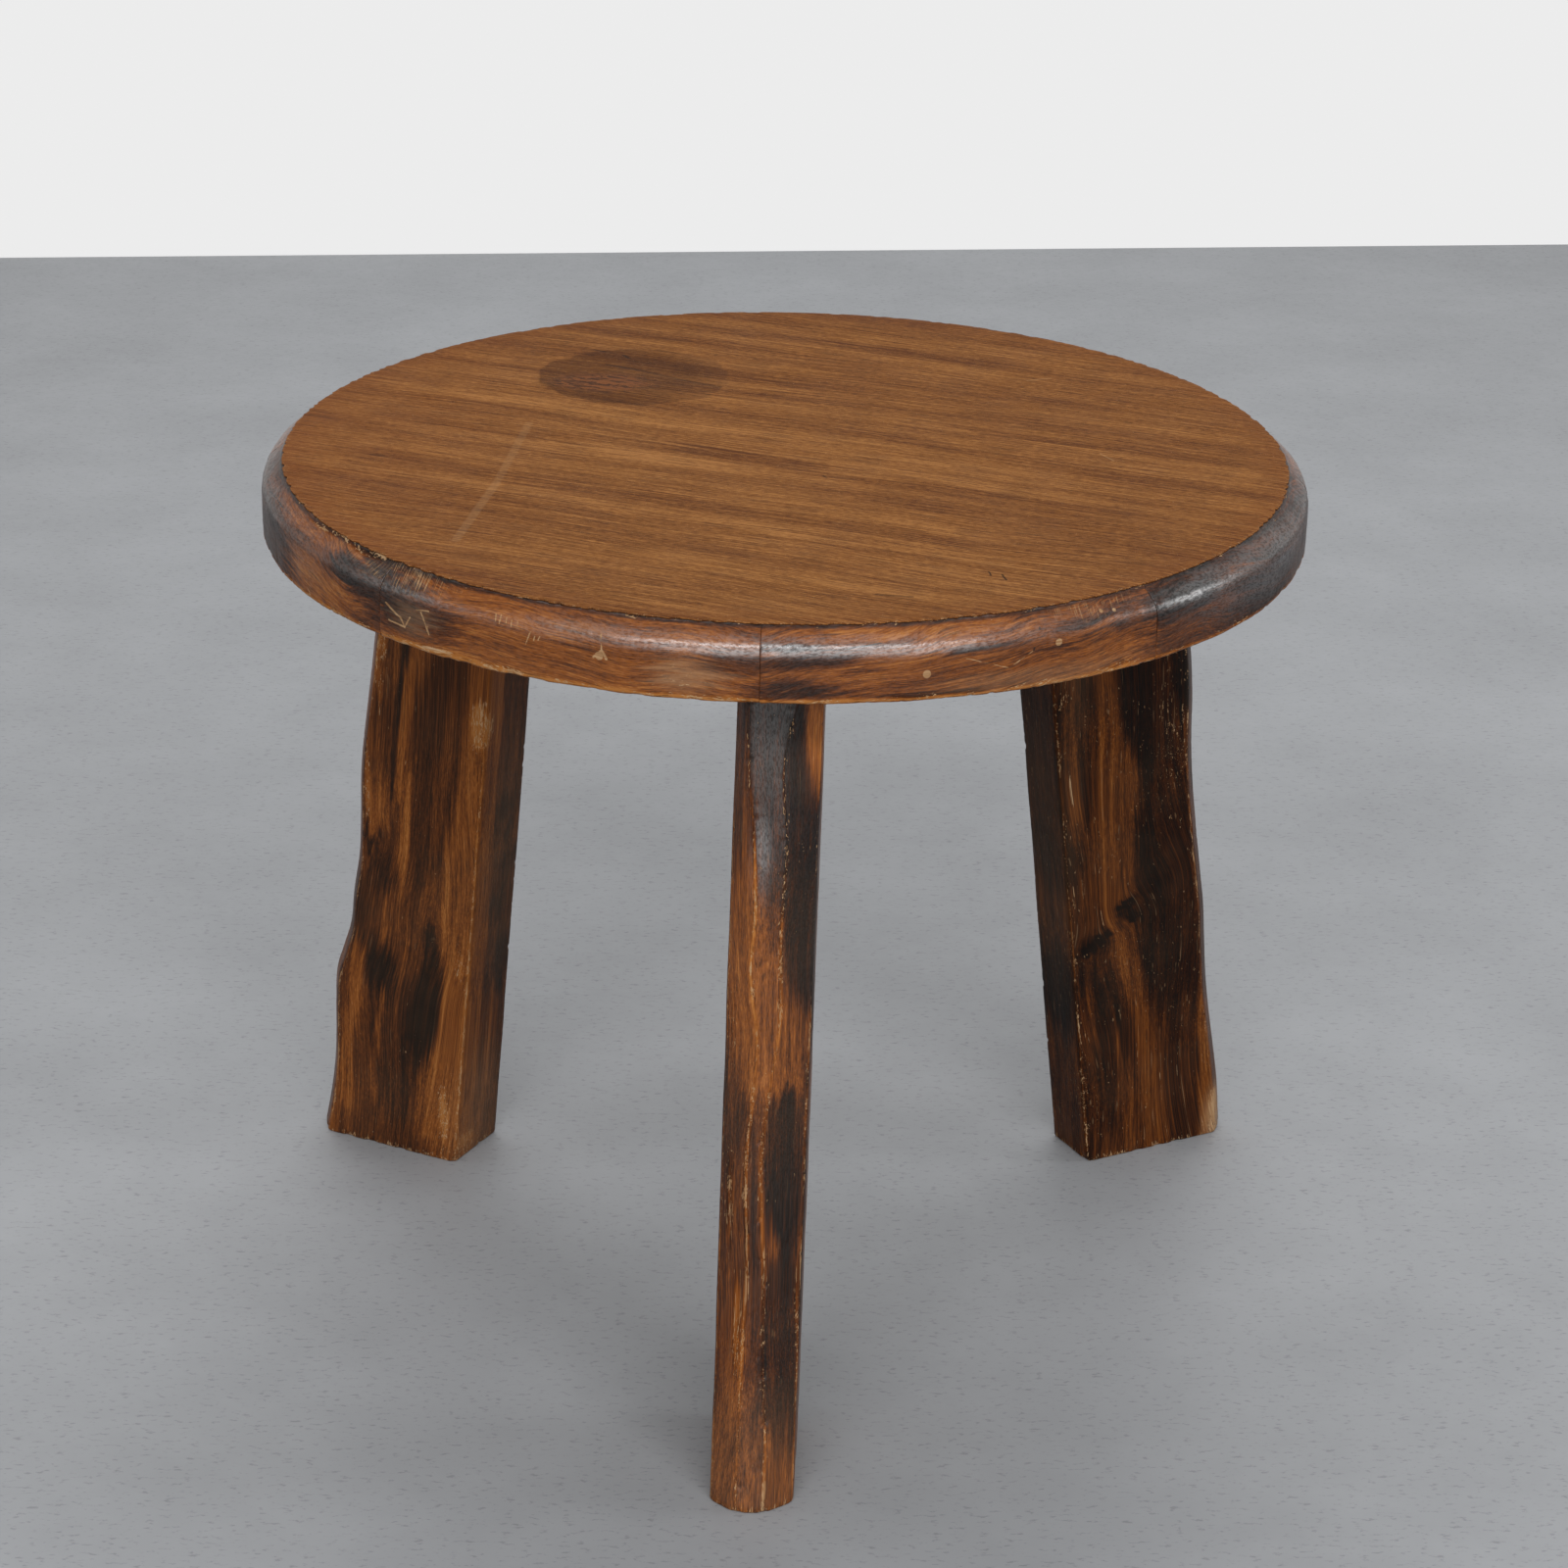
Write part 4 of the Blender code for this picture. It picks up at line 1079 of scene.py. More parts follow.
def make_leaf(number, low, high, material):
    """Make one leaf of the face veneer, between two seams.

    Its top is a grid of rows along the grain. Each row is as long as the field's circle is wide there,
    with its points closer together towards its ends, and the points near the circle are drawn in by
    small chips. The lower side repeats the grid.
    """
    columns = int(2 * FIELD_RADIUS / LEAF_CELL)
    first, last = np.arcsin(np.clip([low / FIELD_RADIUS, high / FIELD_RADIUS], -FIELD_LIMIT, FIELD_LIMIT))
    rows = int((last - first) * FIELD_RADIUS / LEAF_CELL)
    across = FIELD_RADIUS * np.sin(np.linspace(first, last, rows))[:, None]
    share = np.sin(np.linspace(-1, 1, columns) * math.pi / 2 * 0.985) / math.sin(math.pi / 2 * 0.985)
    share = mix(np.linspace(-1, 1, columns), share, 0.25)[None]
    along = share * np.sqrt(FIELD_RADIUS**2 - across**2)
    across = across + 0 * along
    grid = np.stack([along, across, 0 * along], axis=-1)
    turn = np.arctan2(across, along)
    rim = np.stack([np.cos(turn), np.sin(turn), 0 * turn], axis=-1) * FIELD_RADIUS
    chips = peaks(rim, LEAF_CHIP_SIZES[0], 71, 0.3) + 0.35 * peaks(rim, LEAF_CHIP_SIZES[1], 72, 0)
    radius = np.hypot(along, across) / FIELD_RADIUS
    edge = soft_step(radius, 0.985, 1)
    grid[..., :2] *= (1 - LEAF_CHIP / FIELD_RADIUS * chips * edge)[..., None]
    top = LEAF_HIGH.z - hollows(grid, LEAF_RELIEF_SIZE, 73) * LEAF_RELIEF - LEAF_EDGE_WEAR * edge
    turned = Matrix.Rotation(GRAIN_ANGLE, 2)
    flat = grid[..., :2] @ np.array(turned).T
    upper = np.concatenate([flat + (AXIS_X, AXIS_Y), top[..., None]], axis=-1)
    lower = upper.copy()
    lower[..., 2] = LEAF_LOW.z
    points = np.concatenate([upper, lower[:, ::-1]], axis=1)
    # A ring goes along the top and back underneath
    grain_across = grid[..., 1] + LEAF_TILTS[number - 1] * grid[..., 0] + 0.0015 * waves(grid, 0.15, 74)
    grain = np.stack([grain_across + number, 0 * grain_across, grid[..., 0]], axis=-1)
    tone = LEAF_TONES[number - 1] + 0.10 * waves(grain * (1, 1, 0.05), 0.026, 75 + number)
    slide = 0.018 * waves(grain * (1, 1, 0.02), 0.004, 81)
    aside = 0.0014 * waves(grain * (1, 1, 0.05), 0.012, 82)
    moved = flat + np.stack([slide, aside], axis=-1) @ np.array(turned).T
    for value, start, end, half in LEAF_STREAKS:
        tone = tone + (value - tone) * near_line(moved, start, end, half * STREAK_WIDTH_SHARE)
    tone = tone + (FIELD_EDGE_TONE - tone) * soft_step(radius, 0.93, 1) * 0.6
    tone = tone - FAR_SIDE_SHADE * soft_step(flat[..., 1], 0.14, 0.27)
    redness = soft_step(-flat[..., 0], 0.10, 0.28) * 0.4 + soft_step(radius, 0.90, 1) * 0.4
    wear = 0.24 * soft_step(radius, 0.990, 1)

    def both(values):
        """Repeat a leaf's values for its lower side."""
        return np.concatenate([values, values[:, ::-1]], axis=1)

    attributes = {"grain": both(grain), "tone": both(tone), "red": both(redness), "wear": both(wear)}
    name = f"face_veneer_{number}"
    faces = tube_faces(rows, 2 * columns)
    add_piece(name + "_leaf", points, faces, attributes, material, [name])


def start_material(name):
    """Start a material and return it with its tree and its shader."""
    material = bpy.data.materials.new(name)
    material.use_nodes = True
    tree = material.node_tree
    return material, tree, tree.nodes["Principled BSDF"]


def attribute(tree, name, output="Fac"):
    """Read one of a piece's attributes."""
    return node(tree, "Attribute", attribute_name=name).outputs[output]


def object_place(tree):
    """Read the place of a point on its piece."""
    return node(tree, "TexCoord").outputs["Object"]


def finish_surface(tree, shader, colour, roughness, height, depth, specular):
    """Feed a shader its colour, its roughness and a relief of the given depth."""
    tree.links.new(colour, shader.inputs["Base Color"])
    tree.links.new(roughness, shader.inputs["Roughness"])
    bump = node(tree, "Bump", {"Height": height, "Distance": depth, "Strength": 1.0})
    tree.links.new(bump.outputs[0], shader.inputs["Normal"])
    shader.inputs["Specular IOR Level"].default_value = specular


# Finishes: the depth of the relief in the wood, and how much the bare surfaces shine
WOOD_RELIEF = 0.00010
BOARD_RELIEF = 0.00015
VARNISHED_SPECULAR = 0.035
VENEER_SPECULAR = 0.02
BOARD_SPECULAR = 0.2


def broken_up(tree, tone, *parts):
    """Move a tone up and down by noises, each with a weight of its own."""
    for part, weight in parts:
        tone = calculate(tree, "MULTIPLY_ADD", less(tree, part, 0.5), weight, tone)
    return tone


def strongest(tree, masks):
    """Join masks, of which the strongest counts at each point."""
    joined = masks[0]
    for mask in masks[1:]:
        joined = calculate(tree, "MAXIMUM", joined, mask)
    return joined


def spot_mask(tree, place, centre, radius, uneven=0.2, lobes=120.0, softness=0.15):
    """Mask one spot."""
    return use_group(tree, "spot", {
        "Vector": place, "Centre": centre, "Radius": radius, "Uneven": uneven, "Lobes": lobes,
        "Softness": softness,
    })["Mask"]


def scratch_mask(tree, place, start, end, width):
    """Mask one scratch."""
    inputs = {"Vector": place, "Start": start, "End": end, "Width": width}
    return use_group(tree, "scratch", inputs)["Mask"]


def hazy(tree, place, gloss, spread):
    """Vary a roughness by handling and dust."""
    inputs = {"Vector": place, "Gloss": gloss, "Spread": spread}
    return use_group(tree, "gloss_haze", inputs)["Roughness"]


def drawn_noise(tree, grain, drawn, scale, detail, roughness, distortion=0.0):
    """Add a noise whose cells are longer along the grain, by one over the drawn share."""
    return noise(tree, stretch(tree, grain, (1.0, 1.0, drawn)), scale, detail, roughness, distortion)


def dark_wood(
    name, woods, streaks, contrast, shade, coat, specks, scratches=(), dots=(), has_scuffs=False,
):
    """The varnished dark wood of the rim and the legs.

    The tone that the piece carries is broken up by streaks along the grain, by fibres and by a fine
    tooth, and looked up in the wood's colours. Pores darken it, and a pale haze lightens it: wax and
    dust, and partly painted sheen. Bare wood shows where the wear has broken through, and in pale
    scratches and dots. The varnish is a coat that the piece's polish, the wear and a fine noise make
    thinner.
    """
    material, tree, shader = start_material(name)
    place = object_place(tree)
    grain = attribute(tree, "grain", "Vector")
    wear = attribute(tree, "wear")
    wood = use_group(tree, "wood_grain", {
        "Grain": grain, "Streaks": streaks, "Fibres": 1000.0, "Drawn": 0.03, "Pore Share": 0.34,
    })
    tooth = drawn_noise(tree, grain, 0.09, 2000.0, 2.0, 0.7)
    tone = broken_up(
        tree, attribute(tree, "tone"), (wood["Streak"], contrast), (wood["Fibre"], 0.70), (tooth, 0.90)
    )
    # The colours are scaled by the shade, which on the right leg is partly painted shade
    shades = (woods.black_wood, woods.dark_wood, woods.brown_wood, woods.orange_wood, woods.golden_wood)
    colour = ramp(tree, tone, [
        (0.25 * step, [value * shade for value in wood_shade]) for step, wood_shade in enumerate(shades)
    ])
    colour = tint(tree, product(tree, wood["Pore"], 0.45), colour, woods.black_wood)
    clouds = ease(tree, noise(tree, place, 16.0, 3.0, 0.6), 0.42, 0.68)
    # A pale haze of wax and dust, partly painted sheen, is mixed in where the piece's values ask for it
    dull = product(tree, attribute(tree, "dull"), ease(tree, wood["Fibre"], 0.2, 0.7, 0.6, 1.2))
    colour = tint(tree, calculate(tree, "MULTIPLY_ADD", clouds, 0.035, dull), colour, woods.dust_and_sheen_colour)

    # Where there is no wear at all, the share of specks is set by itself
    wear_seen = calculate(tree, "ADD", wear, ease(tree, wear, 0.02, 0.16, 0.6 * (specks - 0.4), 0.0))
    flakes = stretch(tree, grain, (1.0, 1.0, 0.28))
    worn = use_group(tree, "worn_through", {"Vector": flakes, "Wear": wear_seen, "Size": 420.0})["Mask"]
    flecks = ease(tree, drawn_noise(tree, grain, 0.08, 700.0, 1.0, 0.5), 0.70, 0.76)
    marks = [product(tree, flecks, specks)]
    if has_scuffs:
        hairs = noise(tree, stretch(tree, grain, (0.10, 0.10, 1.0)), 1500.0, 1.0, 0.5)
        marks.append(product(tree, ease(tree, hairs, 0.56, 0.66), attribute(tree, "scuff")))
    gouges = []
    for start, end, width, is_pale in scratches:
        mask = scratch_mask(tree, place, start, end, width)
        (marks if is_pale else gouges).append(mask)
    marks += [spot_mask(tree, place, centre, radius) for centre, radius in dots]
    bare = calculate(tree, "MAXIMUM", worn, product(tree, strongest(tree, marks), 0.95))
    bare_colour = tint(tree, ease(tree, wood["Fibre"], 0.3, 0.7), woods.bare_wood, woods.bare_pale)
    bare_colour = tint(tree, ease(tree, wear, 0.95, 1.25), bare_colour, woods.chalk)
    colour = tint(tree, product(tree, bare, 0.80), colour, bare_colour)

    height = calculate(tree, "MULTIPLY_ADD", tooth, 0.8, product(tree, wood["Height"], 0.5))
    height = calculate(tree, "MULTIPLY_ADD", bare, -0.4, height)
    if gouges:
        gouged = strongest(tree, gouges)
        colour = tint(tree, product(tree, gouged, 0.85), colour, woods.black_wood)
        height = calculate(tree, "MULTIPLY_ADD", gouged, -2.0, height)
    rough = calculate(tree, "MULTIPLY_ADD", bare, 0.30, hazy(tree, place, woods.gloss, 0.30))
    whole = product(tree, ease(tree, wear, 0.06, 0.30, 1.0, 0.0), coat)
    whole = product(tree, whole, attribute(tree, "polish"))
    broken = drawn_noise(tree, grain, 0.35, 1100.0, 2.0, 0.7)
    whole = product(tree, whole, ease(tree, broken, 0.36, 0.58, 0.42, 1.0))
    whole = product(tree, less(tree, 1.0, bare), whole)
    tree.links.new(whole, shader.inputs["Coat Weight"])
    shader.inputs["Coat Roughness"].default_value = woods.coat_roughness
    shader.inputs["Coat IOR"].default_value = woods.coat_index
    finish_surface(tree, shader, colour, rough, height, WOOD_RELIEF, VARNISHED_SPECULAR)
    return material


def stained_veneer(tree, woods, place, grain, colour):
    """Darken the veneer under the round stain, and return its colour and the stain's mask.

    The stain is weaker on one side, and its heart is redder, with dark veins along the grain.
    """
    warped = warp(tree, place, 55.0, 0.012)
    stain = spot_mask(tree, warped, top_place(STAIN_PLACE), STAIN_RADIUS, 0.10, 60.0, 0.05)
    dense = spot_mask(tree, warped, top_place(STAIN_DENSE), STAIN_DENSE_RADIUS, 0.3, 40.0, 0.9)
    soaked = tint(tree, 1.0, colour, woods.stain, "MULTIPLY")
    stained = tint(tree, calculate(tree, "MULTIPLY_ADD", dense, 0.65, 0.40), colour, soaked)

    # The heart is longer along the table's width
    narrowed = (HEART_DRAWN, 1.0, 1.0)
    heart_place = tuple(np.multiply(top_place(STAIN_HEART), narrowed))
    heart = stretch(tree, warped, narrowed)
    heart = spot_mask(tree, heart, heart_place, HEART_RADIUS, 1.2, 110.0, 1.1)
    stained = tint(tree, product(tree, heart, 0.80), stained, woods.stain_heart)
    veins = ease(tree, drawn_noise(tree, grain, 0.24, 260.0, 3.0, 0.65, 1.6), 0.49, 0.57)
    near_heart = stretch(tree, place, narrowed)
    near_heart = spot_mask(tree, near_heart, heart_place, VEINS_RADIUS, 0.9, 60.0, 1.2)
    vein_share = calculate(tree, "MULTIPLY_ADD", near_heart, 0.62, 0.10)
    stained = tint(tree, product(tree, veins, vein_share), stained, woods.black_wood)
    return tint(tree, stain, colour, stained), stain


def veneer_wood(woods):
    """The satin veneer of the top, with its pores, its round stain and the marks of use."""
    material, tree, shader = start_material("face_veneer_wood")
    place = object_place(tree)
    grain = attribute(tree, "grain", "Vector")
    wood = use_group(tree, "wood_grain", {
        "Grain": grain, "Streaks": 460.0, "Fibres": 1150.0, "Drawn": 0.018, "Pore Share": 0.42,
    })
    figure = drawn_noise(tree, grain, 0.22, 900.0, 2.0, 0.7)
    tone = broken_up(
        tree, attribute(tree, "tone"), (wood["Streak"], 1.40), (wood["Fibre"], 1.90), (figure, 1.80)
    )
    colour = ramp(tree, tone, (
        (0.0, woods.veneer_dark), (0.5, woods.veneer_brown), (1.0, woods.veneer_light),
    ))
    colour = tint(tree, product(tree, attribute(tree, "red"), 0.5), colour, woods.veneer_red)
    ticks = ease(tree, drawn_noise(tree, grain, 0.06, 700.0, 1.0, 0.5), 0.62, 0.70)
    colour = tint(tree, product(tree, ticks, 0.45), colour, woods.veneer_light)
    colour = tint(tree, product(tree, wood["Pore"], 0.55), colour, woods.veneer_pore)
    colour, stain = stained_veneer(tree, woods, place, grain, colour)

    darker, paler = [], []
    for start, end, width, strength in VENEER_SCRATCHES:
        mask = scratch_mask(tree, place, top_place(start), top_place(end), width)
        (darker if strength < 0 else paler).append(product(tree, mask, abs(strength)))
    dark = strongest(tree, darker)
    colour = tint(tree, dark, colour, woods.black_wood)
    colour = tint(tree, strongest(tree, paler), colour, woods.veneer_pale)
    worn = use_group(tree, "worn_through", {
        "Vector": place, "Wear": attribute(tree, "wear"), "Size": 500.0, "Softness": 0.12,
    })["Mask"]
    colour = tint(tree, product(tree, worn, 0.6), colour, woods.veneer_pale)
    rough = calculate(tree, "MULTIPLY_ADD", stain, -0.06, hazy(tree, place, woods.satin, 0.22))
    height = less(tree, wood["Height"], dark)
    finish_surface(tree, shader, colour, rough, height, WOOD_RELIEF, VENEER_SPECULAR)
    return material


def plain_wood(name, low_colour, high_colour, rough, scale):
    """Unvarnished wood of the hidden boards and dowels: two colours mixed by its grain, with pores."""
    material, tree, shader = start_material(name)
    place = object_place(tree)
    turn = (0.0, math.pi / 2, GRAIN_ANGLE)
    wood = use_group(tree, "wood_grain", {
        "Grain": node(tree, "Mapping", {"Vector": place, "Rotation": turn}).outputs[0],
        "Streaks": scale, "Fibres": scale * 14, "Drawn": 0.05, "Pore Share": 0.36,
    })
    share = calculate(tree, "MULTIPLY_ADD", wood["Fibre"], 0.5, product(tree, wood["Streak"], 0.6))
    colour = tint(tree, ease(tree, share, 0.3, 0.8), low_colour, high_colour)
    pore_colour = [value * 0.35 for value in low_colour]
    colour = tint(tree, product(tree, wood["Pore"], 0.5), colour, pore_colour)
    rough = hazy(tree, place, rough, 0.2)
    finish_surface(tree, shader, colour, rough, wood["Height"], BOARD_RELIEF, BOARD_SPECULAR)
    return material


# Marks on the face veneer: places about the top's axis
STAIN_PLACE = (-0.091, 0.142)
STAIN_RADIUS = 0.056
STAIN_DENSE = (-0.110, 0.140)
STAIN_DENSE_RADIUS = 0.045
STAIN_HEART = (-0.111, 0.128)
HEART_RADIUS = 0.011
VEINS_RADIUS = 0.013
HEART_DRAWN = 0.62
# Scratches: two places, a width, and a strength that is below 0 where the mark is dark
VENEER_SCRATCHES = (
    ((-0.15, 0.045), (-0.162, -0.066), 0.003, 0.11), ((-0.162, -0.066), (-0.178, -0.166), 0.0032, 0.14),
    ((-0.109, 0.1655), (-0.0905, 0.156), 0.0018, -0.55),
    ((-0.0905, 0.156), (-0.066, 0.139), 0.0019, -0.45), ((-0.066, 0.139), (-0.04, 0.122), 0.0022, -0.35),
    ((-0.132, 0.14), (-0.122, 0.137), 0.0012, -0.5), ((-0.1, 0.186), (-0.096, 0.18), 0.0014, -0.55),
    ((0.108, -0.203), (0.109, -0.209), 0.0007, -0.8), ((0.115, -0.207), (0.117, -0.216), 0.0008, -0.8),
    ((0.048, -0.242), (0.066, -0.245), 0.0016, -0.5), ((0.021, -0.044), (0.023, -0.048), 0.0009, -0.6),
    ((-0.236, -0.019), (-0.23, -0.021), 0.0022, -0.4), ((0.2, 0.066), (0.203, 0.064), 0.0018, -0.4),
    ((0.146, 0.147), (0.161, 0.153), 0.0007, 0.4), ((0.181, 0.005), (0.188, -0.008), 0.0007, 0.35),
    ((-0.118, 0.197), (-0.112, 0.193), 0.0012, -0.6),
)


def top_place(place):
    """Turn a place about the top's axis into a place on the veneer."""
    return (AXIS_X + place[0], AXIS_Y + place[1], LEAF_HIGH.z)


def colour_property(name, description, default):
    """Describe one colour that a user can change."""
    return FloatVectorProperty(
        name=name, description=description, default=default, subtype="COLOR", size=3, min=0.0, max=1.0,
    )


def number_property(name, description, default, **options):
    """Describe one number that a user can change."""
    return FloatProperty(name=name, description=description, default=default, **options)


def share_property(name, description, default):
    """Describe one number between 0 and 1 that a user can change."""
    return number_property(name, description, default, min=0, max=1, subtype="FACTOR")


def power_property(name, description, default):
    """Describe one lamp's power that a user can change."""
    return number_property(name, description, default, min=0, unit="POWER")


class TableWoods(bpy.types.PropertyGroup):
    """The colours and the gloss of the table's woods."""

    black_wood: colour_property("Black wood", "Darkest streaks, knots and pores", (0.011, 0.008, 0.007))
    dark_wood: colour_property("Dark wood", "Dark heartwood", (0.040, 0.0145, 0.0075))
    brown_wood: colour_property("Brown wood", "Middle brown of the rim and legs", (0.112, 0.034, 0.0105))
    orange_wood: colour_property("Orange wood", "Warm streaks", (0.255, 0.078, 0.016))
    golden_wood: colour_property("Golden wood", "Lightest streaks", (0.410, 0.160, 0.040))
    bare_wood: colour_property("Bare wood", "Where the varnish is worn off", (0.300, 0.160, 0.070))
    bare_pale: colour_property("Pale bare wood", "Dry fibres in the worn places", (0.470, 0.310, 0.170))
    chalk: colour_property("Chalk", "Crust on the lower arris and the foot", (0.620, 0.520, 0.390))
    # The haze colour is old wax and dust, and on the rim and legs also a painted sheen
    dust_and_sheen_colour: colour_property("Haze", "Old wax and dust on the varnish", (0.260, 0.160, 0.092))
    veneer_dark: colour_property("Dark veneer", "Dark streaks of the top", (0.094, 0.032, 0.0115))
    veneer_brown: colour_property("Brown veneer", "Middle brown of the top", (0.213, 0.083, 0.0225))
    veneer_light: colour_property("Light veneer", "Light streaks of the top", (0.368, 0.164, 0.052))
    veneer_red: colour_property("Red veneer", "Redder wood towards the edges", (0.200, 0.062, 0.018))
    veneer_pore: colour_property("Veneer pores", "Open pores of the top", (0.075, 0.030, 0.013))
    veneer_pale: colour_property("Pale veneer", "Dry edges and light scratches", (0.470, 0.290, 0.150))
    stain: colour_property("Stain", "What the round stain takes from the veneer's colour", (0.57, 0.51, 0.40))
    stain_heart: colour_property("Stain heart", "Red wood in the middle of the stain", (0.190, 0.066, 0.022))
    core_low: colour_property("Core board, dark", "Grain of the core board", (0.330, 0.200, 0.090))
    core_high: colour_property("Core board, light", "Ground of the core board", (0.480, 0.320, 0.160))
    backing_low: colour_property("Backing, dark", "Grain of the backing veneer", (0.100, 0.045, 0.020))
    backing_high: colour_property("Backing, light", "Ground of the backing veneer", (0.210, 0.110, 0.050))
    dowel_low: colour_property("Dowel, dark", "Grain of the dowels", (0.430, 0.280, 0.140))
    dowel_high: colour_property("Dowel, light", "Ground of the dowels", (0.600, 0.430, 0.250))
    gloss: share_property("Varnish roughness", "Roughness of the rim and legs", 0.34)
    coat_roughness: share_property("Coat roughness", "Roughness of the varnish's surface", 0.30)
    coat_index: number_property("Coat index", "Refractive index of the varnish", 2.0, min=1, max=3)
    satin: share_property("Top roughness", "Roughness of the face veneer", 0.58)


class TableStudio(bpy.types.PropertyGroup):
    """The camera, the floor and the lamps."""

    lens: number_property("Lens", "Focal length in millimetres", 100.94, min=10, unit="CAMERA")
    floor_colour: colour_property("Floor", "Colour of the floor", (0.327, 0.336, 0.351))
    floor_back: number_property("Floor behind", "How far back the floor reaches", 2.3, unit="LENGTH")
    backdrop: number_property("Backdrop", "Brightness of what the camera sees past the floor", 0.84)
    room_light: number_property("Room light", "Strength of the light from all around", 0.16)
    front_light: power_property("Front lamp", "Power of the large soft lamp in front, in watts", 230.0)
    high_light: power_property("High lamp", "Power of the soft lamp above the camera, in watts", 82.0)
    side_light: power_property("Side lamps", "Power of each soft lamp at the sides, in watts", 18.0)
    top_light: power_property("Overhead lamp", "Power of the soft lamp overhead, in watts", 56.0)


def add_lamp(name, place, target, size, power):
    """Hang a square soft lamp that points at a place."""
    light = bpy.data.lights.new(name, "AREA")
    light.shape = "RECTANGLE"
    light.size, light.size_y = size
    light.energy = power
    lamp = bpy.data.objects.new(name, light)
    lamp.location = place
    lamp.rotation_euler = (Vector(target) - Vector(place)).to_track_quat("-Z", "Y").to_euler()
    bpy.context.scene.collection.objects.link(lamp)


def floor_material(colour):
    """A painted floor: its colour with faint clouds, specks and scuffs."""
    material, tree, shader = start_material("floor_paint")
    place = object_place(tree)
    clouds = noise(tree, place, 5.0, 4.0, 0.6)
    specks = ease(tree, noise(tree, stretch(tree, place, (1.0, 2.2, 1.0)), 150.0, 3.0, 0.65), 0.56, 0.68)
    shade = calculate(tree, "MULTIPLY_ADD", clouds, 0.44, 0.78)
    shade = less(tree, shade, product(tree, specks, 0.26))
    grey = node(tree, "CombineXYZ", {0: shade, 1: shade, 2: shade}).outputs[0]
    colour = tint(tree, 1.0, colour, grey, "MULTIPLY")
    tree.links.new(colour, shader.inputs["Base Color"])
    rough = calculate(tree, "MULTIPLY_ADD", noise(tree, place, 60.0, 3.0), 0.25, 0.42)
    tree.links.new(rough, shader.inputs["Roughness"])
    return material


class OBJECT_OT_table_stage(bpy.types.Operator):
    """Set up the camera, the floor and the light"""

    bl_idname = "object.table_stage"
    bl_label = "Set the Stage"

    def execute(self, context):
        studio = context.scene.table_studio
        camera_data = bpy.data.cameras.new("camera")
        camera_data.lens = studio.lens
        camera_data.sensor_width = CAMERA_SENSOR
        camera = bpy.data.objects.new("camera", camera_data)
        turn = Matrix.Rotation(CAMERA_YAW, 4, "Z")
        turn = turn @ Matrix.Rotation(math.pi / 2 - CAMERA_PITCH, 4, "X")
        turn = turn @ Matrix.Rotation(CAMERA_ROLL, 4, "Z")
        camera.matrix_world = Matrix.Translation(CAMERA_PLACE) @ turn
        context.scene.collection.objects.link(camera)
        context.scene.camera = camera

        far = studio.floor_back
        skew = FLOOR_HALF_WIDTH * math.tan(FLOOR_TURN)
        corners = [
            (-FLOOR_HALF_WIDTH, -FLOOR_FRONT, 0), (FLOOR_HALF_WIDTH, -FLOOR_FRONT, 0),
            (FLOOR_HALF_WIDTH, far + skew, 0), (-FLOOR_HALF_WIDTH, far - skew, 0),
        ]
        mesh = bpy.data.meshes.new("floor")
        mesh.from_pydata(corners, [], [(0, 1, 2, 3)])
        mesh.materials.append(floor_material(studio.floor_colour))
        floor = bpy.data.objects.new("floor", mesh)
        context.scene.collection.objects.link(floor)

        middle = (0, 0, 0.3)
        add_lamp("front_lamp", (0.6, -6.0, 2.15), middle, (7.5, 3.6), studio.front_light)
        add_lamp("high_lamp", (0.15, -2.9, 3.3), middle, (4.6, 0.5), studio.high_light)
        add_lamp("left_lamp", (-3.0, -0.3, 1.4), middle, (1.0, 1.2), studio.side_light * 0.5)
        add_lamp("right_lamp", (3.0, 0.0, 1.4), middle, (1.0, 0.9), studio.side_light)
        add_lamp("top_lamp", (0, 1.6, 3.2), (0, 1.2, 0), (3.2, 2.4), studio.top_light)

        world = bpy.data.worlds.new("room")
        world.use_nodes = True
        tree = world.node_tree
        paths = node(tree, "LightPath")
        kinds = ("Is Camera Ray", "Is Glossy Ray", "Is Transmission Ray")
        seen = strongest(tree, [paths.outputs[kind] for kind in kinds])
        strength = calculate(
            tree, "MULTIPLY_ADD", seen, studio.backdrop - studio.room_light, studio.room_light
        )
        background = tree.nodes["Background"]
        background.inputs["Color"].default_value = (1.0, 1.0, 1.0, 1.0)
        tree.links.new(strength, background.inputs["Strength"])
        context.scene.world = world
        context.scene.view_settings.view_transform = "Standard"
        return {"FINISHED"}


class OBJECT_OT_table_groups(bpy.types.Operator):
    """Build the shader groups that the woods share"""

    bl_idname = "object.table_groups"
    bl_label = "Build Shader Groups"

    def execute(self, context):
        grain_group()
        worn_group()
        scratch_group()
        spot_group()
        haze_group()
        return {"FINISHED"}


class OBJECT_OT_table_veneer(bpy.types.Operator):
    """Lay the five leaves of the face veneer"""

    bl_idname = "object.table_veneer"
    bl_label = "Lay the Face Veneer"

    def execute(self, context):
        material = veneer_wood(context.scene.table_woods)
        seams = [-FIELD_RADIUS, *(share * FIELD_RADIUS for share in SEAM_SHARES), FIELD_RADIUS]
        for number, (low, high) in enumerate(zip(seams, seams[1:]), start=1):
            make_leaf(number, low + SEAM_GAP / 2, high - SEAM_GAP / 2, material)
        return {"FINISHED"}


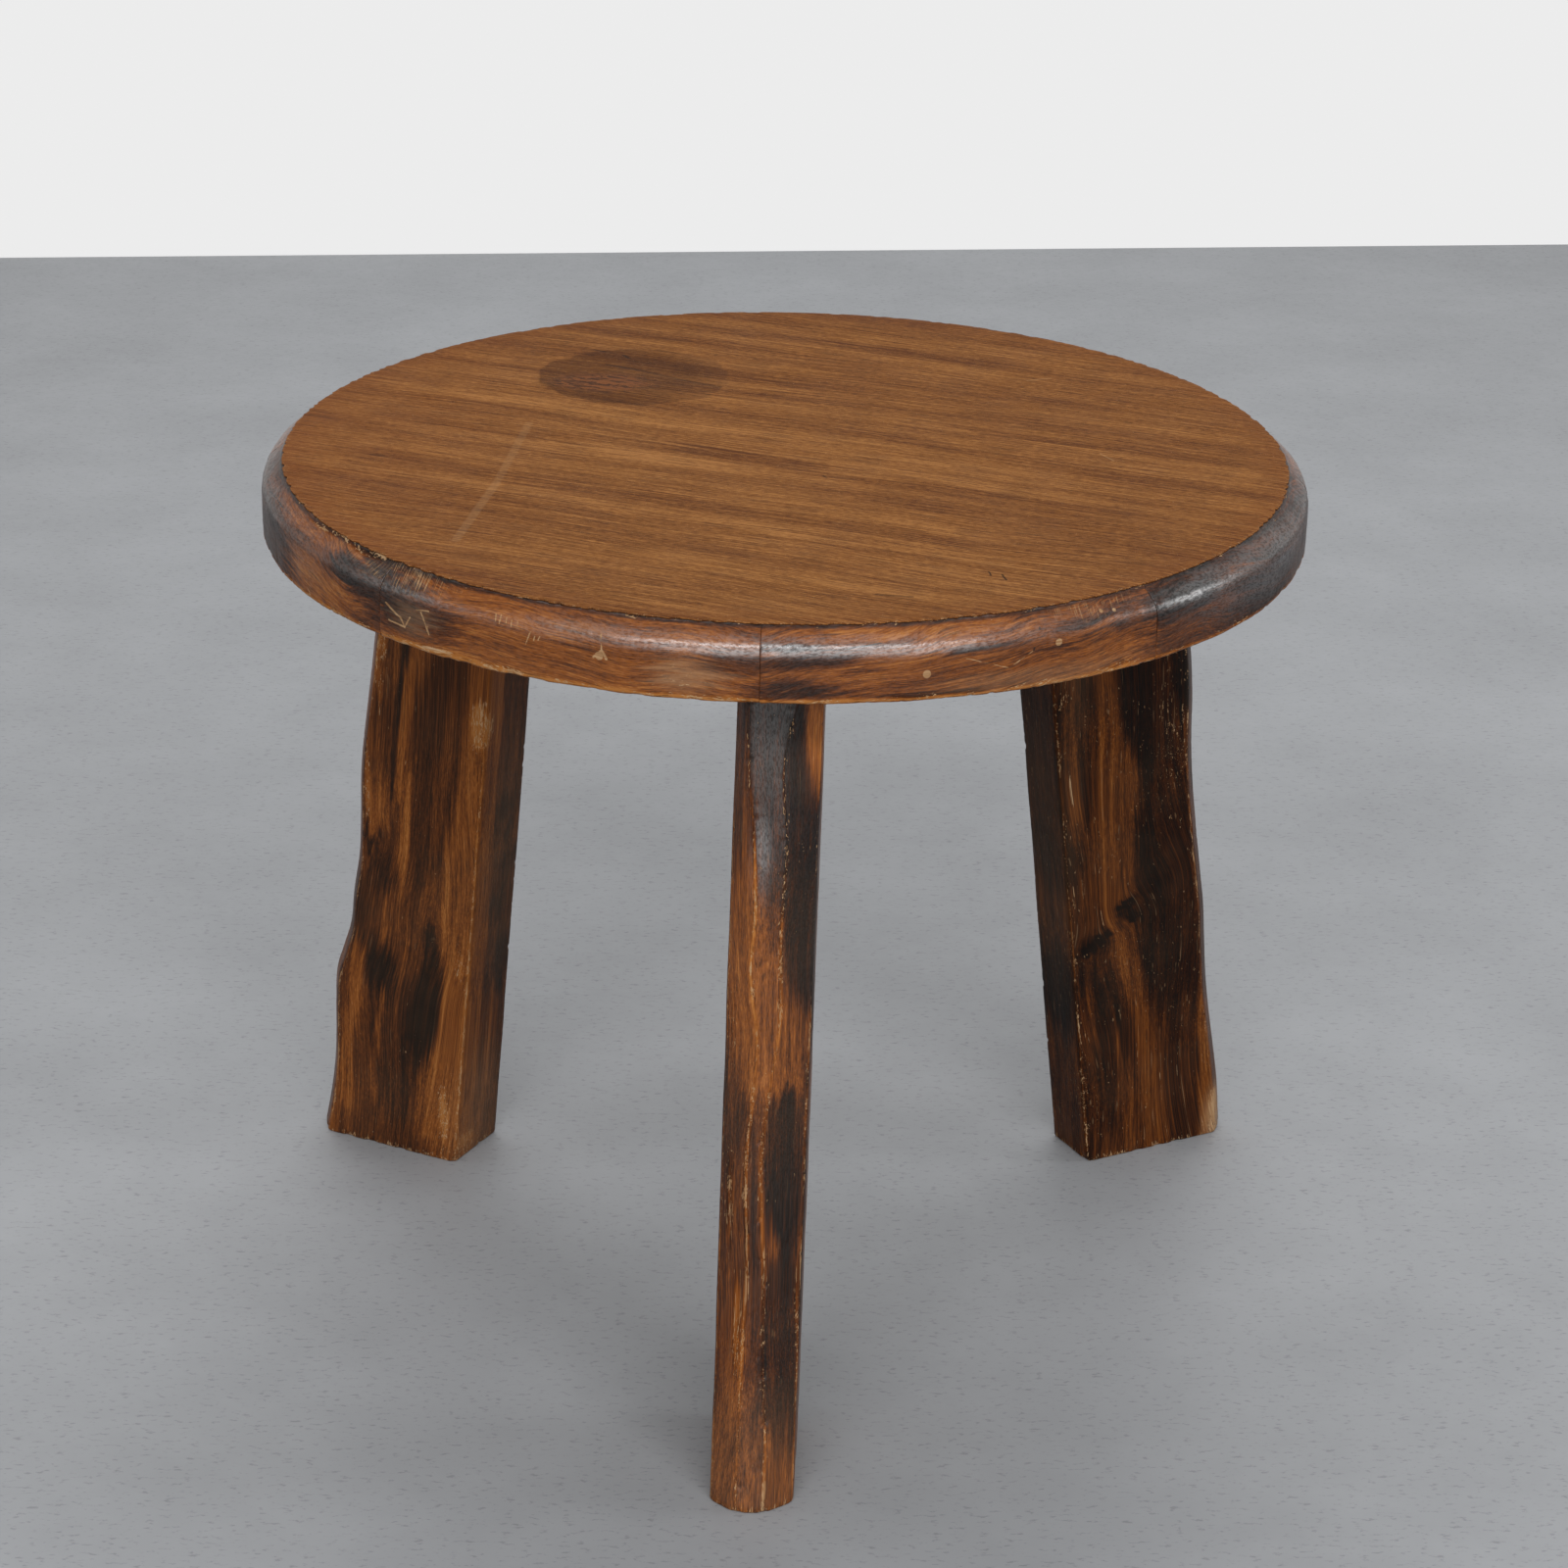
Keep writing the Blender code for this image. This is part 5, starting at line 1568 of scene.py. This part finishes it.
class OBJECT_OT_table_rim(bpy.types.Operator):
    """Glue up the eight segments of the rim"""

    bl_idname = "object.table_rim"
    bl_label = "Glue Up the Rim"

    def execute(self, context):
        woods = context.scene.table_woods
        start = FIRST_JOINT
        for number in range(1, RIM_SEGMENTS + 1):
            span = SHORT_SPAN if number <= SHORT_SEGMENTS else LONG_SPAN
            scratches = [
                (rim_place(*first), rim_place(*last), width, is_pale)
                for first, last, width, is_pale in RIM_SCRATCHES.get(number, ())
            ]
            dots = [(rim_place(*centre), radius) for centre, radius in RIM_DOTS.get(number, ())]
            material = dark_wood(
                f"rim_segment_{number}_varnish", woods, RIM_STREAKS, RIM_FIGURES[number - 1], RIM_SHADE,
                coat=1.0, specks=RIM_SPECKS, scratches=scratches, dots=dots, has_scuffs=True,
            )
            make_rim_segment(number, start, span, material)
            start += span
        return {"FINISHED"}


class OBJECT_OT_table_legs(bpy.types.Operator):
    """Stand the three legs under the top"""

    bl_idname = "object.table_legs"
    bl_label = "Stand the Legs"

    def execute(self, context):
        woods = context.scene.table_woods
        for leg in LEGS:
            material = dark_wood(
                f"leg_{leg.name}_varnish", woods, LEG_STREAKS, leg.figure, leg.shade, leg.coat, leg.specks,
            )
            make_leg(leg, material)
        return {"FINISHED"}


class OBJECT_OT_table_boards(bpy.types.Operator):
    """Finish the core, the backing veneer and the dowels"""

    bl_idname = "object.table_boards"
    bl_label = "Finish the Boards and Dowels"

    def execute(self, context):
        woods = context.scene.table_woods
        finishes = (
            ("top_core", plain_wood("core_wood", woods.core_low, woods.core_high, 0.70, 40.0)),
            ("backing_veneer", plain_wood("backing_wood", woods.backing_low, woods.backing_high, 0.62, 60.0)),
            ("dowel", plain_wood("dowel_wood", woods.dowel_low, woods.dowel_high, 0.65, 90.0)),
        )
        for name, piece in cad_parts.items():
            for start, material in finishes:
                if name.startswith(start):
                    piece.data.materials.clear()
                    piece.data.materials.append(material)
        return {"FINISHED"}


class VIEW3D_PT_table(bpy.types.Panel):
    """The table's steps and finishes"""

    bl_label = "Side Table"
    bl_idname = "VIEW3D_PT_table"
    bl_space_type = "VIEW_3D"
    bl_region_type = "UI"
    bl_category = "Table"

    def draw(self, context):
        for step in STEPS:
            self.layout.operator(step.bl_idname)
        for group in (context.scene.table_woods, context.scene.table_studio):
            box = self.layout.box()
            for name in group.__annotations__:
                box.prop(group, name)


STEPS = (
    OBJECT_OT_table_stage, OBJECT_OT_table_groups, OBJECT_OT_table_veneer, OBJECT_OT_table_rim,
    OBJECT_OT_table_legs, OBJECT_OT_table_boards,
)
CLASSES = (TableWoods, TableStudio, *STEPS, VIEW3D_PT_table)


def register():
    """Register the classes and hang the settings on the scene."""
    for made in CLASSES:
        bpy.utils.register_class(made)
    bpy.types.Scene.table_woods = bpy.props.PointerProperty(type=TableWoods)
    bpy.types.Scene.table_studio = bpy.props.PointerProperty(type=TableStudio)


def unregister():
    """Take the settings and the classes away again."""
    del bpy.types.Scene.table_studio
    del bpy.types.Scene.table_woods
    for made in reversed(CLASSES):
        bpy.utils.unregister_class(made)


def main():
    """Run every step."""
    register()
    for step in STEPS:
        category, name = step.bl_idname.split(".")
        getattr(getattr(bpy.ops, category), name)()


if __name__ == "__main__":
    main()
